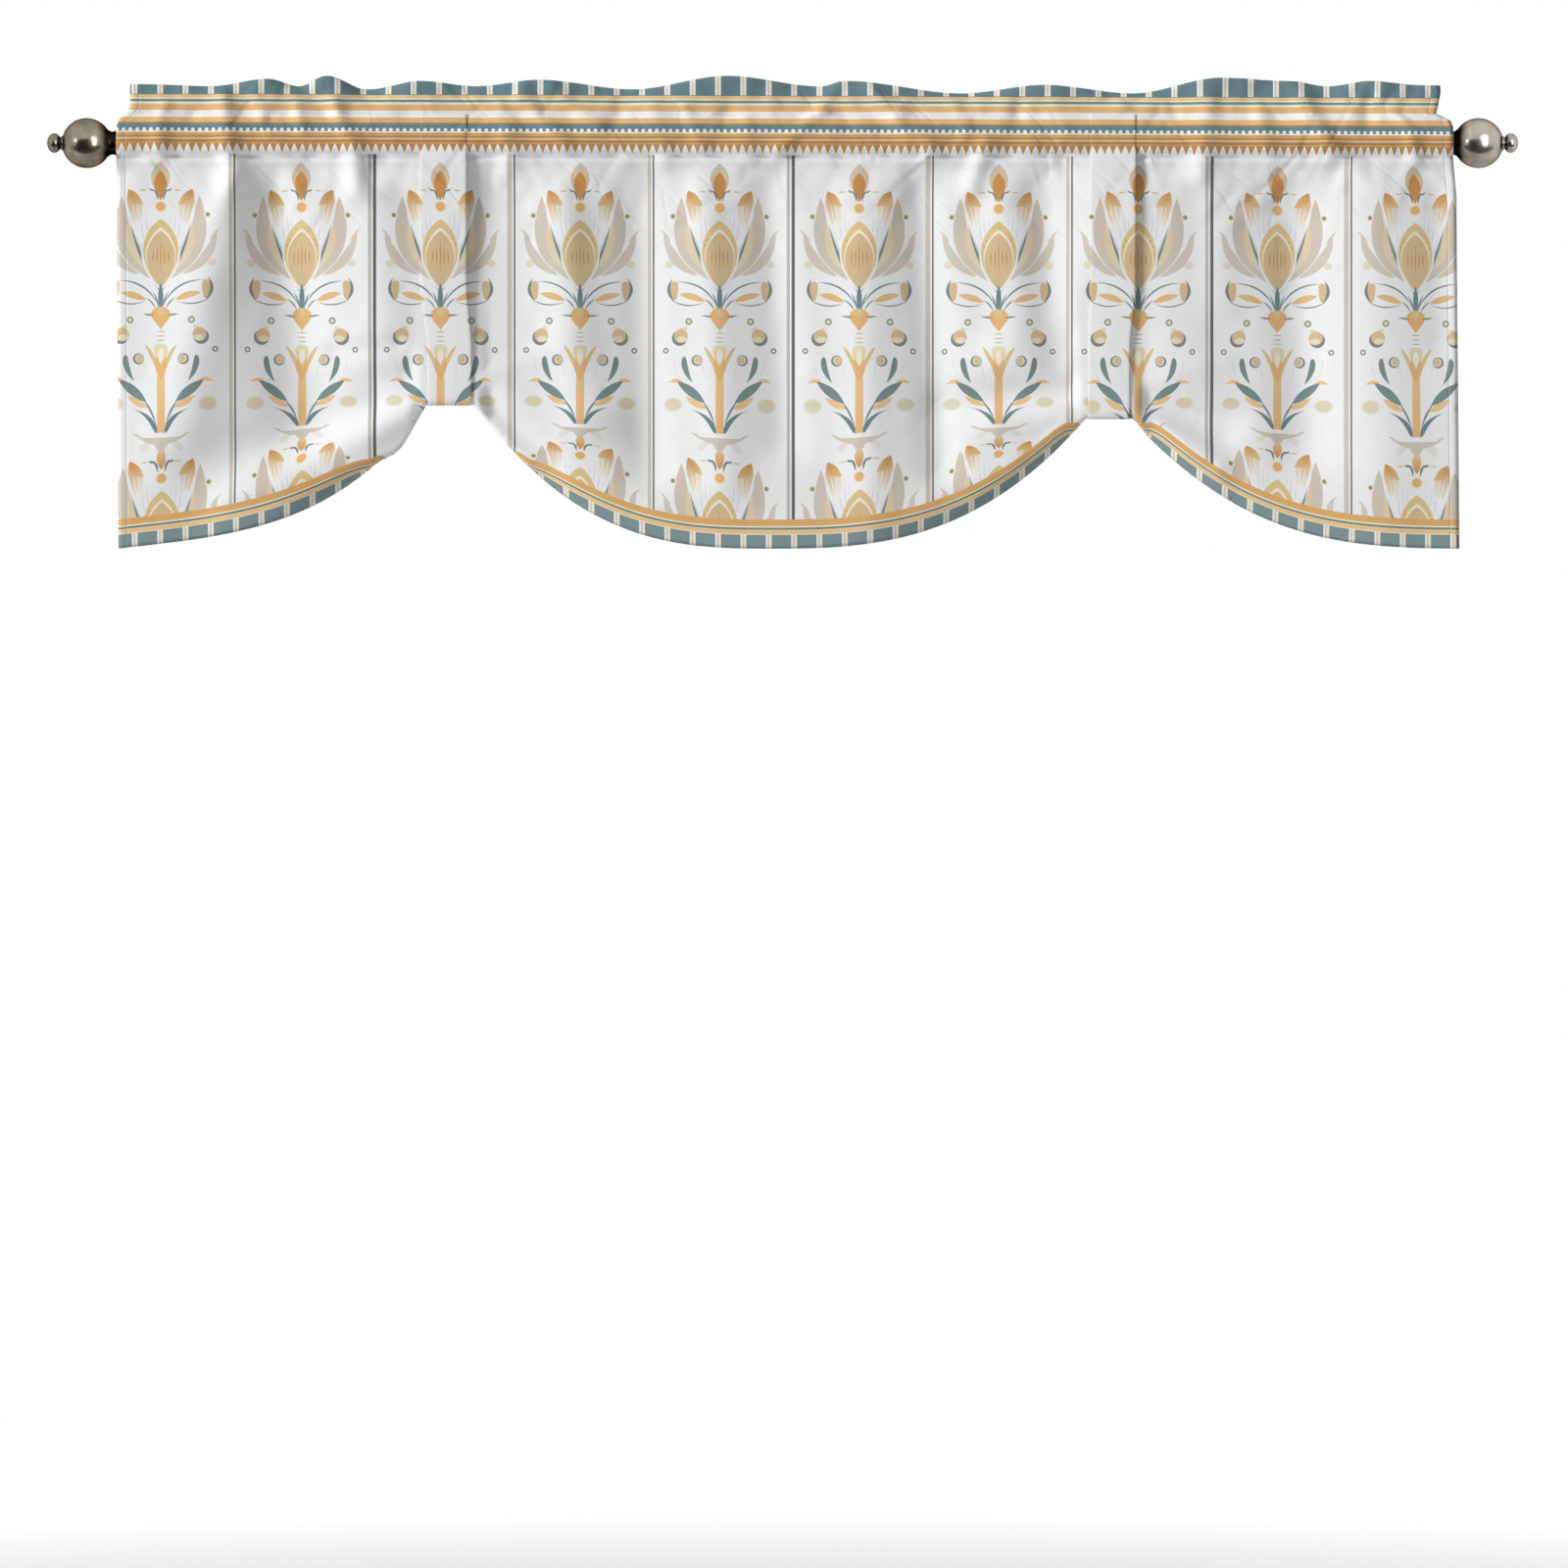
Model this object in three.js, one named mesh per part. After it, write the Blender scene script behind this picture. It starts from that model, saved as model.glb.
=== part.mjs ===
// Tie-up valance on its rod. One printed cloth panel has a standing heading, a rod pocket and a
// straight-cut hem. Two self-fabric ties lift it into three swags, and it hangs on a 25 mm rod with
// ball finials. Millimetres: X runs along the rod, Y back towards the wall and Z up, and the origin
// is on the rod's axis at the middle of the window.

import * as THREE from 'three';

// Rod and finials.
const ROD_RADIUS = 12.7;
const ROD_LEFT = -680;
const ROD_RIGHT = 679;
const ROD_SIDES = 32;
const SEAT_GAP = 0.3;
const FINIAL_SIDES = 22;
const BALL_RADIUS = 25.5;
const BALL_FROM_ROD = 31;
const BALL_STEPS = 9;
const BALL_INNER_SHARE = 0.62;
const BALL_OUTER_SHARE = 0.3;
const KNOB_RADIUS = 10.2;
const KNOB_HALF_LENGTH = 7.6;
const KNOB_FROM_ROD = 64.2;
const KNOB_STEPS = 6;
const KNOB_START_ANGLE = Math.PI - 0.6;
const TIP_NECK_RADIUS = 6;
const TIP_NECK_FROM_ROD = 57.4;
const COLLAR_RADIUS = 12.8;
const COLLAR_WAIST = 11.9;
const COLLAR_LENGTH = 7.4;

// Cloth thicknesses: the single panel, the turned and sewn hem, and the two layers of the heading.
const PANEL_THICKNESS = 1.6;
const HEM_THICKNESS = 3;
const HEADING_THICKNESS = 3.2;

// Rod pocket: the two layers part at the heading stitch, pass round the rod and meet at the lower one.
const HEADING_STITCH_Z = 30;
const POCKET_STITCH_Z = -25;
const TUNNEL = { radius: 13.9, above: 27, below: 20 };
const POCKET = { radius: 15.4, above: 34, below: 27 };
const TUNNEL_ARC_STEPS = 2;

// Drop of the panel, and the hem that curls back as it nears a tie.
const HEM_Z = -413.7;
const TAIL_HANGING = 34;
const TAIL_TIED = 70;
const TAIL_GROWS_FROM = 0.6 * Math.PI;
const TURN_HANGING = 26;
const TURN_TIED = 16;
const FOLDS_BEGIN_Z = -22;
const FOLDS_FULL_Z = -62;

// Ties: straps sewn in at the heading stitch, front and back, that pass under the lifted cloth.
const TIE_THICKNESS = 2;
const TIE_CLEARANCE = 0.7;
const TIE_SEWN_GAP = 0.5;
const TIE_ARC_STEPS = 3;
const TIE_TURN_STEPS = 6;
const TIE_TAPER_BEGIN_Z = -140;
const TIE_TAPER_END_Z = -215;
const TIES = [
  { name: 'tie_left', left: -370, right: -323, leftLow: -362.5, rightLow: -318, clothBottom: -267.5 },
  { name: 'tie_right', left: 313, right: 359, leftLow: 311, rightLow: 353, clothBottom: -281.5 },
];
const GRIP_FORWARD = 4.4;
const GRIP_BEGIN_Z = -120;
const GRIP_FULL_Z = -230;
const GRIP_MARGIN = 5;
const GRIP_FADE = 16;

// Rows of the loft down one section, and steps of the stations along the rod.
const HEADING_ROWS = 2;
const HEADING_LEAN_POWER = 1.5;
const POCKET_ROW_ZS = [HEADING_STITCH_Z, 19, 8, -2, -12, -19, POCKET_STITCH_Z];
const PANEL_ROWS = 12;
const TURN_STEPS = 4;
const TAIL_STEPS = 2;
const SPANS = [
  { to: -440, steps: 14 },
  { to: -364, steps: 6 },
  { to: -315, steps: 4 },
  { to: -250, steps: 5 },
  { to: 250, steps: 20 },
  { to: 309, steps: 5 },
  { to: 357, steps: 4 },
  { to: 430, steps: 6 },
  { to: 690, steps: 11 },
];

// Side edges of the cloth by height: the heading is narrower than the pocket and panel.
const SIDES = [
  { z: -414, left: -678, right: 690 },
  { z: -54, left: -679.5, right: 687 },
  { z: -14, left: -679.5, right: 683 },
  { z: 16, left: -679.5, right: 683 },
  { z: 24, left: -677, right: 680 },
  { z: 29, left: -672, right: 666 },
  { z: 36, left: -666, right: 668 },
  { z: 52, left: -666, right: 671 },
  { z: 70, left: -664, right: 664 },
];

// Crests and hollows of the heading: its top edge, and how far that edge leans back.
const HEADING = [
  { x: -666, top: 60, lean: 1 },
  { x: -585, top: 58, lean: 4 },
  { x: -525, top: 65, lean: -5 },
  { x: -494, top: 58, lean: 5 },
  { x: -465, top: 68, lean: -7 },
  { x: -425, top: 55, lean: 7 },
  { x: -369, top: 63, lean: -3 },
  { x: -313, top: 58, lean: 4 },
  { x: -249, top: 64, lean: -5 },
  { x: -153, top: 55, lean: 6 },
  { x: -57, top: 68, lean: -6 },
  { x: 39, top: 58, lean: 5 },
  { x: 63, top: 63, lean: -3 },
  { x: 183, top: 51, lean: 8 },
  { x: 267, top: 59, lean: -3 },
  { x: 357, top: 51, lean: 7 },
  { x: 447, top: 66, lean: -7 },
  { x: 520, top: 63, lean: 1 },
  { x: 555, top: 58, lean: 5 },
  { x: 603, top: 63, lean: -4 },
  { x: 672, top: 59, lean: 3 },
];

// The three swags as half-swags, each from its lowest point up to a tie. The hem rises by a straight
// share and a power of the way, and its curl from hanging to folded back follows the same two terms.
const SWAGS = [
  { low: -679.5, tie: -364, bottom: -267.5, straight: 0.24, power: 3.6, curlStraight: 0.1, curlPower: 5, curlEnds: 0.9 },
  { low: -14, tie: -315, bottom: -267.5, straight: 0, power: 2.75, curlStraight: 0.25, curlPower: 6, curlEnds: 0.9 },
  { low: -14, tie: 309, bottom: -281.5, straight: 0, power: 2.8, curlStraight: 0.3, curlPower: 30, curlEnds: 1 },
  { low: 690, tie: 357, bottom: -281.5, straight: 0.02, power: 2.85, curlStraight: 0.3, curlPower: 30, curlEnds: 1 },
];

// Soft folds of the panel. Each runs from (x0, z0) to (x1, z1), spreads from w0 to w1 either side
// and stands forward by its rise, or back where the rise is negative.
const FOLDS = [
  { x0: -554, z0: -19, x1: -607, z1: -284, w0: 13, w1: 40, rise: 8 },
  { x0: -531, z0: -24, x1: -487, z1: -260, w0: 13, w1: 56, rise: -10 },
  { x0: -424, z0: -40, x1: -421, z1: -214, w0: 26, w1: 34, rise: 7 },
  { x0: -394, z0: -54, x1: -396, z1: -199, w0: 14, w1: 14, rise: -2 },
  { x0: -222, z0: -74, x1: -209, z1: -284, w0: 30, w1: 34, rise: 7 },
  { x0: -146, z0: -30, x1: -142, z1: -314, w0: 24, w1: 36, rise: -8 },
  { x0: -80, z0: -24, x1: -66, z1: -344, w0: 26, w1: 30, rise: 7 },
  { x0: -17, z0: -16, x1: -5, z1: -264, w0: 22, w1: 32, rise: -7 },
  { x0: 80, z0: -24, x1: 82, z1: -354, w0: 30, w1: 36, rise: 7 },
  { x0: 140, z0: -30, x1: 157, z1: -314, w0: 24, w1: 32, rise: -8 },
  { x0: 226, z0: -24, x1: 246, z1: -200, w0: 26, w1: 28, rise: 6 },
  { x0: 274, z0: -36, x1: 302, z1: -224, w0: 18, w1: 24, rise: -6 },
  { x0: 440, z0: -24, x1: 456, z1: -234, w0: 24, w1: 32, rise: 8 },
  { x0: 519, z0: -24, x1: 533, z1: -304, w0: 30, w1: 40, rise: -9 },
  { x0: 606, z0: -24, x1: 613, z1: -354, w0: 34, w1: 42, rise: 6 },
  { x0: 668, z0: -30, x1: 676, z1: -200, w0: 16, w1: 18, rise: -3 },
  { x0: -343, z0: -30, x1: -341, z1: -130, w0: 26, w1: 22, rise: 5 },
  { x0: 335, z0: -30, x1: 333, z1: -130, w0: 26, w1: 22, rise: 5 },
  { x0: -477, z0: -219, x1: -374, z1: -239, w0: 10, w1: 12, rise: -4 },
  { x0: -378, z0: -252, x1: -499, z1: -294, w0: 14, w1: 18, rise: -5 },
  { x0: -382, z0: -272, x1: -449, z1: -316, w0: 14, w1: 16, rise: 6 },
  { x0: -303, z0: -262, x1: -239, z1: -332, w0: 14, w1: 16, rise: -5 },
  { x0: -307, z0: -246, x1: -179, z1: -284, w0: 14, w1: 26, rise: 4 },
  { x0: 296, z0: -252, x1: 166, z1: -266, w0: 15, w1: 18, rise: -5 },
  { x0: 290, z0: -277, x1: 221, z1: -285, w0: 14, w1: 20, rise: 5 },
  { x0: 292, z0: -226, x1: 221, z1: -220, w0: 18, w1: 24, rise: 4 },
  { x0: 372, z0: -262, x1: 451, z1: -294, w0: 15, w1: 20, rise: -6 },
  { x0: 378, z0: -290, x1: 441, z1: -328, w0: 14, w1: 16, rise: 5 },
];

const CLOTH_WHITE = new THREE.MeshStandardMaterial({ color: 0xf3f2ef, roughness: 0.85, metalness: 0 });
const TIE_WHITE = new THREE.MeshStandardMaterial({ color: 0xefeeea, roughness: 0.85, metalness: 0 });
const ROD_METAL = new THREE.MeshStandardMaterial({ color: 0x8b857a, roughness: 0.4, metalness: 1 });
const FINIAL_METAL = new THREE.MeshStandardMaterial({ color: 0x8f887b, roughness: 0.32, metalness: 1 });

const mix = THREE.MathUtils.lerp;
const ease = THREE.MathUtils.smoothstep;

// Reads a column of a table at a place along another column, between its two nearest rows.
function readTable(rows, key, place, column, soften) {
  const after = rows.findIndex((row) => row[key] >= place);
  if (after === 0) {
    return rows[0][column];
  }
  if (after < 0) {
    return rows[rows.length - 1][column];
  }
  const a = rows[after - 1];
  const b = rows[after];
  const share = (place - a[key]) / (b[key] - a[key]);
  return mix(a[column], b[column], soften ? ease(share, 0, 1) : share);
}

// Half the depth of the pocket at a height: a circle round the rod between two tangent planes that
// meet above and below it.
function pocketHalf(z, shape) {
  const apex = z > 0 ? shape.above : shape.below;
  const height = Math.abs(z);
  const tangentHeight = shape.radius ** 2 / apex;
  if (height < tangentHeight) {
    return Math.sqrt(shape.radius ** 2 - height ** 2);
  }
  return Math.max(0, apex - height) * Math.tan(Math.asin(shape.radius / apex));
}

// How firmly a tie presses the cloth at a place, from 0 to 1.
function grip(x, z) {
  const across = TIES.map((tie) => {
    const outside = Math.max(tie.leftLow - x, x - tie.rightLow, 0);
    return 1 - ease(outside, GRIP_MARGIN, GRIP_MARGIN + GRIP_FADE);
  });
  return Math.max(...across) * ease(-z, -GRIP_BEGIN_Z, -GRIP_FULL_Z);
}

// How far the panel stands forward of the rod's axis at a place.
function panelRise(x, z) {
  let rise = 0;
  for (const fold of FOLDS) {
    const dx = fold.x1 - fold.x0;
    const dz = fold.z1 - fold.z0;
    const along = (x - fold.x0) * dx + (z - fold.z0) * dz;
    const share = THREE.MathUtils.clamp(along / (dx * dx + dz * dz), 0, 1);
    const away = Math.hypot(x - fold.x0 - share * dx, z - fold.z0 - share * dz);
    rise += fold.rise * Math.exp(-((away / mix(fold.w0, fold.w1, share)) ** 2));
  }
  rise *= ease(-z, -FOLDS_BEGIN_Z, -FOLDS_FULL_Z);
  return mix(rise, GRIP_FORWARD, grip(x, z));
}

// Lowest line of the hanging cloth at a station, and the angle by which its hem has curled back.
function lowerEdge(x) {
  const within = SWAGS.find((swag) => (x - swag.low) * (x - swag.tie) <= 0);
  if (!within) {
    const nearest = x < 0 ? SWAGS[0] : SWAGS[2];
    return { z: nearest.bottom, curl: Math.PI };
  }
  const way = (x - within.low) / (within.tie - within.low);
  const climb = within.straight * way + (1 - within.straight) * way ** within.power;
  const rolled = Math.min(way / within.curlEnds, 1);
  const curl = within.curlStraight * rolled + (1 - within.curlStraight) * rolled ** within.curlPower;
  return { z: mix(HEM_Z, within.bottom, climb), curl: Math.PI * curl };
}

// Path of the hem's tail in a section, from where it starts to turn: hanging, curling or folded back.
function tailPath(curl) {
  const turnLength = mix(TURN_HANGING, TURN_TIED, ease(curl, 0, Math.PI));
  const tailLength = mix(TAIL_HANGING, TAIL_TIED, ease(curl, TAIL_GROWS_FROM, Math.PI));
  const straightLength = tailLength - turnLength;
  const path = [{ y: 0, z: 0, angle: 0 }];
  const advance = (length, angle, heading) => {
    const last = path[path.length - 1];
    path.push({ y: last.y + length * Math.sin(heading), z: last.z - length * Math.cos(heading), angle });
  };
  for (let step = 1; step <= TURN_STEPS; step += 1) {
    advance(turnLength / TURN_STEPS, (curl * step) / TURN_STEPS, (curl * (step - 0.5)) / TURN_STEPS);
  }
  for (let step = 1; step <= TAIL_STEPS; step += 1) {
    advance(straightLength / TAIL_STEPS, curl, curl);
  }
  return path;
}

// Every row of a section from the heading's top edge to the hem, as a mid-line point, the half
// thickness there and the angle that the cloth has turned by.
function sectionRows(x) {
  const rows = [];
  const top = readTable(HEADING, 'x', x, 'top', true);
  const lean = readTable(HEADING, 'x', x, 'lean', true);
  for (let row = 0; row < HEADING_ROWS; row += 1) {
    const up = 1 - row / HEADING_ROWS;
    rows.push({
      y: lean * up ** HEADING_LEAN_POWER,
      z: mix(HEADING_STITCH_Z, top, up),
      half: HEADING_THICKNESS / 2,
      angle: 0,
    });
  }
  for (const z of POCKET_ROW_ZS) {
    rows.push({ y: 0, z, half: Math.max(pocketHalf(z, POCKET), PANEL_THICKNESS / 2), angle: 0 });
  }
  const edge = lowerEdge(x);
  const tail = tailPath(edge.curl);
  const reach = Math.min(...tail.map((point) => point.z - (HEM_THICKNESS / 2) * Math.sin(point.angle)));
  const turnZ = edge.z - reach;
  for (let row = 1; row < PANEL_ROWS; row += 1) {
    const z = mix(POCKET_STITCH_Z, turnZ, row / PANEL_ROWS);
    rows.push({ y: -panelRise(x, z), z, half: PANEL_THICKNESS / 2, angle: 0 });
  }
  const turnY = -panelRise(x, turnZ);
  for (const point of tail) {
    rows.push({ y: turnY + point.y, z: turnZ + point.z, half: HEM_THICKNESS / 2, angle: point.angle });
  }
  return rows;
}

// Where a share of the cloth's width lies along the rod at a height.
function acrossCloth(share, z) {
  return mix(readTable(SIDES, 'z', z, 'left', false), readTable(SIDES, 'z', z, 'right', false), share);
}

// One side of the cloth in a section: 1 is the face that hangs outwards, -1 the reverse.
function clothSide(rows, share, side) {
  return rows.map((row) => {
    const y = row.y - side * row.half * Math.cos(row.angle);
    const z = row.z - side * row.half * Math.sin(row.angle);
    return new THREE.Vector3(acrossCloth(share, row.z), y, z);
  });
}

// The tunnel's outline round the rod, upwards at the front and down at the back.
function tunnelOutline() {
  const above = Math.acos(TUNNEL.radius / TUNNEL.above);
  const below = Math.PI - Math.acos(TUNNEL.radius / TUNNEL.below);
  const outline = [{ y: 0, z: -TUNNEL.below }];
  for (let step = 0; step <= TUNNEL_ARC_STEPS; step += 1) {
    const angle = mix(below, above, step / TUNNEL_ARC_STEPS);
    outline.push({ y: -TUNNEL.radius * Math.sin(angle), z: TUNNEL.radius * Math.cos(angle) });
  }
  const back = outline.slice(1).reverse().map((point) => ({ y: -point.y, z: point.z }));
  return [...outline, { y: 0, z: TUNNEL.above }, ...back];
}

// Closed skin over a row of sections. Each section has an outer ring that runs down the front and up
// the back, and may have a hole that runs the other way.
function loft(sections) {
  const positions = [];
  const indices = [];
  const starts = sections.map((section) => {
    const start = positions.length / 3;
    for (const point of [...section.ring, ...section.hole]) {
      positions.push(point.x, point.y, point.z);
    }
    return start;
  });
  const skin = (offset, count) => {
    for (let at = 0; at + 1 < sections.length; at += 1) {
      for (let step = 0; step < count; step += 1) {
        const next = (step + 1) % count;
        const a = starts[at] + offset + step;
        const b = starts[at] + offset + next;
        const c = starts[at + 1] + offset + next;
        const d = starts[at + 1] + offset + step;
        indices.push(a, b, c, a, c, d);
      }
    }
  };
  skin(0, sections[0].ring.length);
  skin(sections[0].ring.length, sections[0].hole.length);
  const cap = (at, facing) => {
    const flat = (point) => new THREE.Vector2(point.y, point.z);
    const ring = sections[at].ring.map(flat);
    const hole = sections[at].hole.map(flat);
    const points = [...ring, ...hole];
    for (const [a, b, c] of THREE.ShapeUtils.triangulateShape(ring, hole.length ? [hole] : [])) {
      const turn = THREE.ShapeUtils.area([points[a], points[b], points[c]]) * facing;
      indices.push(...(turn > 0 ? [a, b, c] : [a, c, b]).map((index) => starts[at] + index));
    }
  };
  cap(0, -1);
  cap(sections.length - 1, 1);
  const geometry = new THREE.BufferGeometry();
  geometry.setAttribute('position', new THREE.Float32BufferAttribute(positions, 3));
  geometry.setIndex(indices);
  geometry.computeVertexNormals();
  return geometry;
}

// Stations along the rod, as shares of the cloth's width, closer together at the ties.
function stationShares() {
  const left = SIDES[0].left;
  const right = SIDES[0].right;
  const shares = [0];
  let from = left;
  for (const span of SPANS) {
    for (let step = 1; step <= span.steps; step += 1) {
      shares.push((mix(from, span.to, step / span.steps) - left) / (right - left));
    }
    from = span.to;
  }
  return shares;
}

// Heading, pocket, panel and hem: one piece of cloth.
function makeValance() {
  const left = SIDES[0].left;
  const right = SIDES[0].right;
  const outline = tunnelOutline();
  const sections = stationShares().map((share) => {
    const rows = sectionRows(mix(left, right, share));
    const front = clothSide(rows, share, 1);
    const back = clothSide(rows, share, -1).reverse();
    const hole = outline.map((point) => new THREE.Vector3(acrossCloth(share, point.z), point.y, point.z));
    return { ring: [...front, ...back], hole };
  });
  return loft(sections);
}

// One face of a tie in section: down over the pocket, straight to the lifted cloth, round under it
// and up again behind. The two circles it hugs are the pocket and the fold at the tie.
function tieFace(tie, lift) {
  const topRadius = POCKET.radius + TIE_CLEARANCE + lift;
  const foldRadius = TURN_TIED / Math.PI + HEM_THICKNESS / 2;
  const turnRadius = foldRadius + TIE_CLEARANCE + lift;
  const turnY = TURN_TIED / Math.PI - GRIP_FORWARD;
  const turnZ = tie.clothBottom + foldRadius;
  const sewnY = pocketHalf(HEADING_STITCH_Z, POCKET) + TIE_SEWN_GAP + lift;
  const sewnZ = HEADING_STITCH_Z;
  const sewnAngle = Math.atan2(sewnZ, sewnY);
  const leaving = sewnAngle - Math.acos(topRadius / Math.hypot(sewnY, sewnZ));
  const leg = (side) => {
    const across = topRadius - turnRadius - side * turnY;
    const slope = -Math.asin(across / Math.hypot(turnY, turnZ));
    const points = [{ y: side * sewnY, z: sewnZ }];
    for (let step = 0; step <= TIE_ARC_STEPS; step += 1) {
      const angle = mix(leaving, slope, step / TIE_ARC_STEPS);
      points.push({ y: side * topRadius * Math.cos(angle), z: topRadius * Math.sin(angle) });
    }
    return { points, slope };
  };
  const front = leg(-1);
  const back = leg(1);
  const turn = [];
  for (let step = 0; step <= TIE_TURN_STEPS; step += 1) {
    const angle = mix(Math.PI - front.slope, 2 * Math.PI + back.slope, step / TIE_TURN_STEPS);
    turn.push({ y: turnY + turnRadius * Math.cos(angle), z: turnZ + turnRadius * Math.sin(angle) });
  }
  return [...front.points, ...turn, ...back.points.reverse()];
}

function makeTie(tie) {
  const outer = tieFace(tie, TIE_THICKNESS);
  const inner = tieFace(tie, 0).reverse();
  const sections = [0, 1].map((share) => {
    const ring = [...outer, ...inner].map((point) => {
      const taper = ease(-point.z, -TIE_TAPER_BEGIN_Z, -TIE_TAPER_END_Z);
      const left = mix(tie.left, tie.leftLow, taper);
      const right = mix(tie.right, tie.rightLow, taper);
      return new THREE.Vector3(mix(left, right, share), point.y, point.z);
    });
    return { ring, hole: [] };
  });
  return loft(sections);
}

// Ball finial, turned about its own axis: collar, ball, neck and knob, from the rod outwards.
function finialProfile() {
  const profile = [
    new THREE.Vector2(0, 0),
    new THREE.Vector2(COLLAR_RADIUS, 0),
    new THREE.Vector2(COLLAR_WAIST, COLLAR_LENGTH / 2),
    new THREE.Vector2(COLLAR_RADIUS, COLLAR_LENGTH),
  ];
  const ballStart = Math.PI - Math.asin(BALL_INNER_SHARE);
  const ballEnd = Math.asin(BALL_OUTER_SHARE);
  for (let step = 0; step <= BALL_STEPS; step += 1) {
    const angle = mix(ballStart, ballEnd, step / BALL_STEPS);
    const along = BALL_FROM_ROD + BALL_RADIUS * Math.cos(angle);
    profile.push(new THREE.Vector2(BALL_RADIUS * Math.sin(angle), along));
  }
  profile.push(new THREE.Vector2(TIP_NECK_RADIUS, TIP_NECK_FROM_ROD));
  for (let step = 1; step <= KNOB_STEPS; step += 1) {
    const angle = mix(KNOB_START_ANGLE, 0, step / KNOB_STEPS);
    const along = KNOB_FROM_ROD + KNOB_HALF_LENGTH * Math.cos(angle);
    profile.push(new THREE.Vector2(step === KNOB_STEPS ? 0 : KNOB_RADIUS * Math.sin(angle), along));
  }
  return profile;
}

const valance = new THREE.Group();
valance.name = 'tie_up_valance';

function addMesh(name, geometry, material) {
  const mesh = new THREE.Mesh(geometry, material);
  mesh.name = name;
  valance.add(mesh);
  return mesh;
}

addMesh('valance', makeValance(), CLOTH_WHITE);

for (const tie of TIES) {
  addMesh(tie.name, makeTie(tie), TIE_WHITE);
}

const rodShape = new THREE.CylinderGeometry(ROD_RADIUS, ROD_RADIUS, ROD_RIGHT - ROD_LEFT, ROD_SIDES);
const rod = addMesh('rod', rodShape, ROD_METAL);
rod.rotation.z = Math.PI / 2;
rod.position.x = (ROD_LEFT + ROD_RIGHT) / 2;

const FINIALS = [
  { name: 'finial_left', x: ROD_LEFT - SEAT_GAP, turn: Math.PI / 2 },
  { name: 'finial_right', x: ROD_RIGHT + SEAT_GAP, turn: -Math.PI / 2 },
];

for (const place of FINIALS) {
  const finial = addMesh(place.name, new THREE.LatheGeometry(finialProfile(), FINIAL_SIDES), FINIAL_METAL);
  finial.rotation.z = place.turn;
  finial.position.x = place.x;
}

export default valance;
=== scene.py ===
# %% [markdown]
# # A tie-up valance on its rod
# A tie-up valance is one short curtain for the top of a window. Its heading stands up above a rod
# pocket, and two cloth straps lift its lower edge, so that it hangs in three swags. This lesson
# dresses a ready CAD model of it: the sizes and places come from the CAD, and Blender gives it
# fine folds, a printed pattern, stitches and metal. It starts by loading that model.

# %% Load the CAD model
import itertools
import math

import bmesh
import bpy
import numpy as np
from mathutils import Matrix, Vector, noise


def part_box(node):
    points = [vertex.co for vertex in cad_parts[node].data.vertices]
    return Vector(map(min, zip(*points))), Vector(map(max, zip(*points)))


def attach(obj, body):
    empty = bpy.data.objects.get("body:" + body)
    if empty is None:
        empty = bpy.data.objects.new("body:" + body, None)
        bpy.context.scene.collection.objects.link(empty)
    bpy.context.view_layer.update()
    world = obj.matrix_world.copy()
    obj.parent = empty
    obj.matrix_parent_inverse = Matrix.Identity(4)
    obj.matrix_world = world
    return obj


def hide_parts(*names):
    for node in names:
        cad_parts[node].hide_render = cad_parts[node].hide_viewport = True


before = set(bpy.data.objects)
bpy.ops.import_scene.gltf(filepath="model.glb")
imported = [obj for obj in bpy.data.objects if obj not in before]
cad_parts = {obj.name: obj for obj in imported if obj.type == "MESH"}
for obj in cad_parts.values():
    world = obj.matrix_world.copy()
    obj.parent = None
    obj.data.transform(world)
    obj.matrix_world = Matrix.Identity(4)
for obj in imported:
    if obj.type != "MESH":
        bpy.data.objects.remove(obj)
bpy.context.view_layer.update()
MM = 0.001

# %% [markdown]
# ## Camera
# A valance is looked at straight on, from far away, so that the rod stays level and the swags keep
# their outline. A long lens does that. The picture is square, and the valance fills its upper
# part, as it does at the top of a window, with the height of the window left open below it.

# %% Place the camera
PICTURE_SIDE = 1.6
LENS_MM = 200
SENSOR_MM = 36
PICTURE_CENTRE = Vector((0.001, 0, -0.654))

lens = bpy.data.cameras.new("front_lens")
lens.lens = LENS_MM
lens.sensor_width = SENSOR_MM
lens.clip_end = 100
camera = bpy.data.objects.new("front_camera", lens)
distance = PICTURE_SIDE * LENS_MM / SENSOR_MM
camera.location = PICTURE_CENTRE - Vector((0, distance, 0))
camera.rotation_euler = (math.pi / 2, 0, 0)
bpy.context.scene.collection.objects.link(camera)
bpy.context.scene.camera = camera
print(f"camera {distance:.2f} m in front of the rod")

# %% [markdown]
# ## Light and floor
# White cloth shows its folds only if the light comes from one side. A large soft sun from the
# upper left gives that, and a dim white world fills the shadows. Together they light a surface
# that faces the camera at a strength of about 1, so a colour renders as it is written. The world
# is white where it is seen, and the floor fades to it. Polished metal shows only what it reflects.
# So two softboxes give it highlights and nothing else, and a dark card behind the camera, which
# only reflections see, gives it a dark middle between them. The card is bent: one part stands, one
# lies.

# %% Set the lamps and the world
KEY_DIRECTION = Vector((0.82, 0.47, -0.33))
KEY_STRENGTH = 2.8
KEY_SPREAD = 0.3
AMBIENT = 0.275
SOFTBOXES = [
    dict(name="left_softbox", place=(-4.4, -3.2, 0.7), size=(0.7, 0.9), power=16),
    dict(name="right_softbox", place=(2.6, -4.2, 0.5), size=(2.2, 3.4), power=140),
]


def aim(thing, direction):
    """Turns a lamp so that it shines along a direction."""
    thing.rotation_euler = direction.to_track_quat("-Z", "Y").to_euler()


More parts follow.
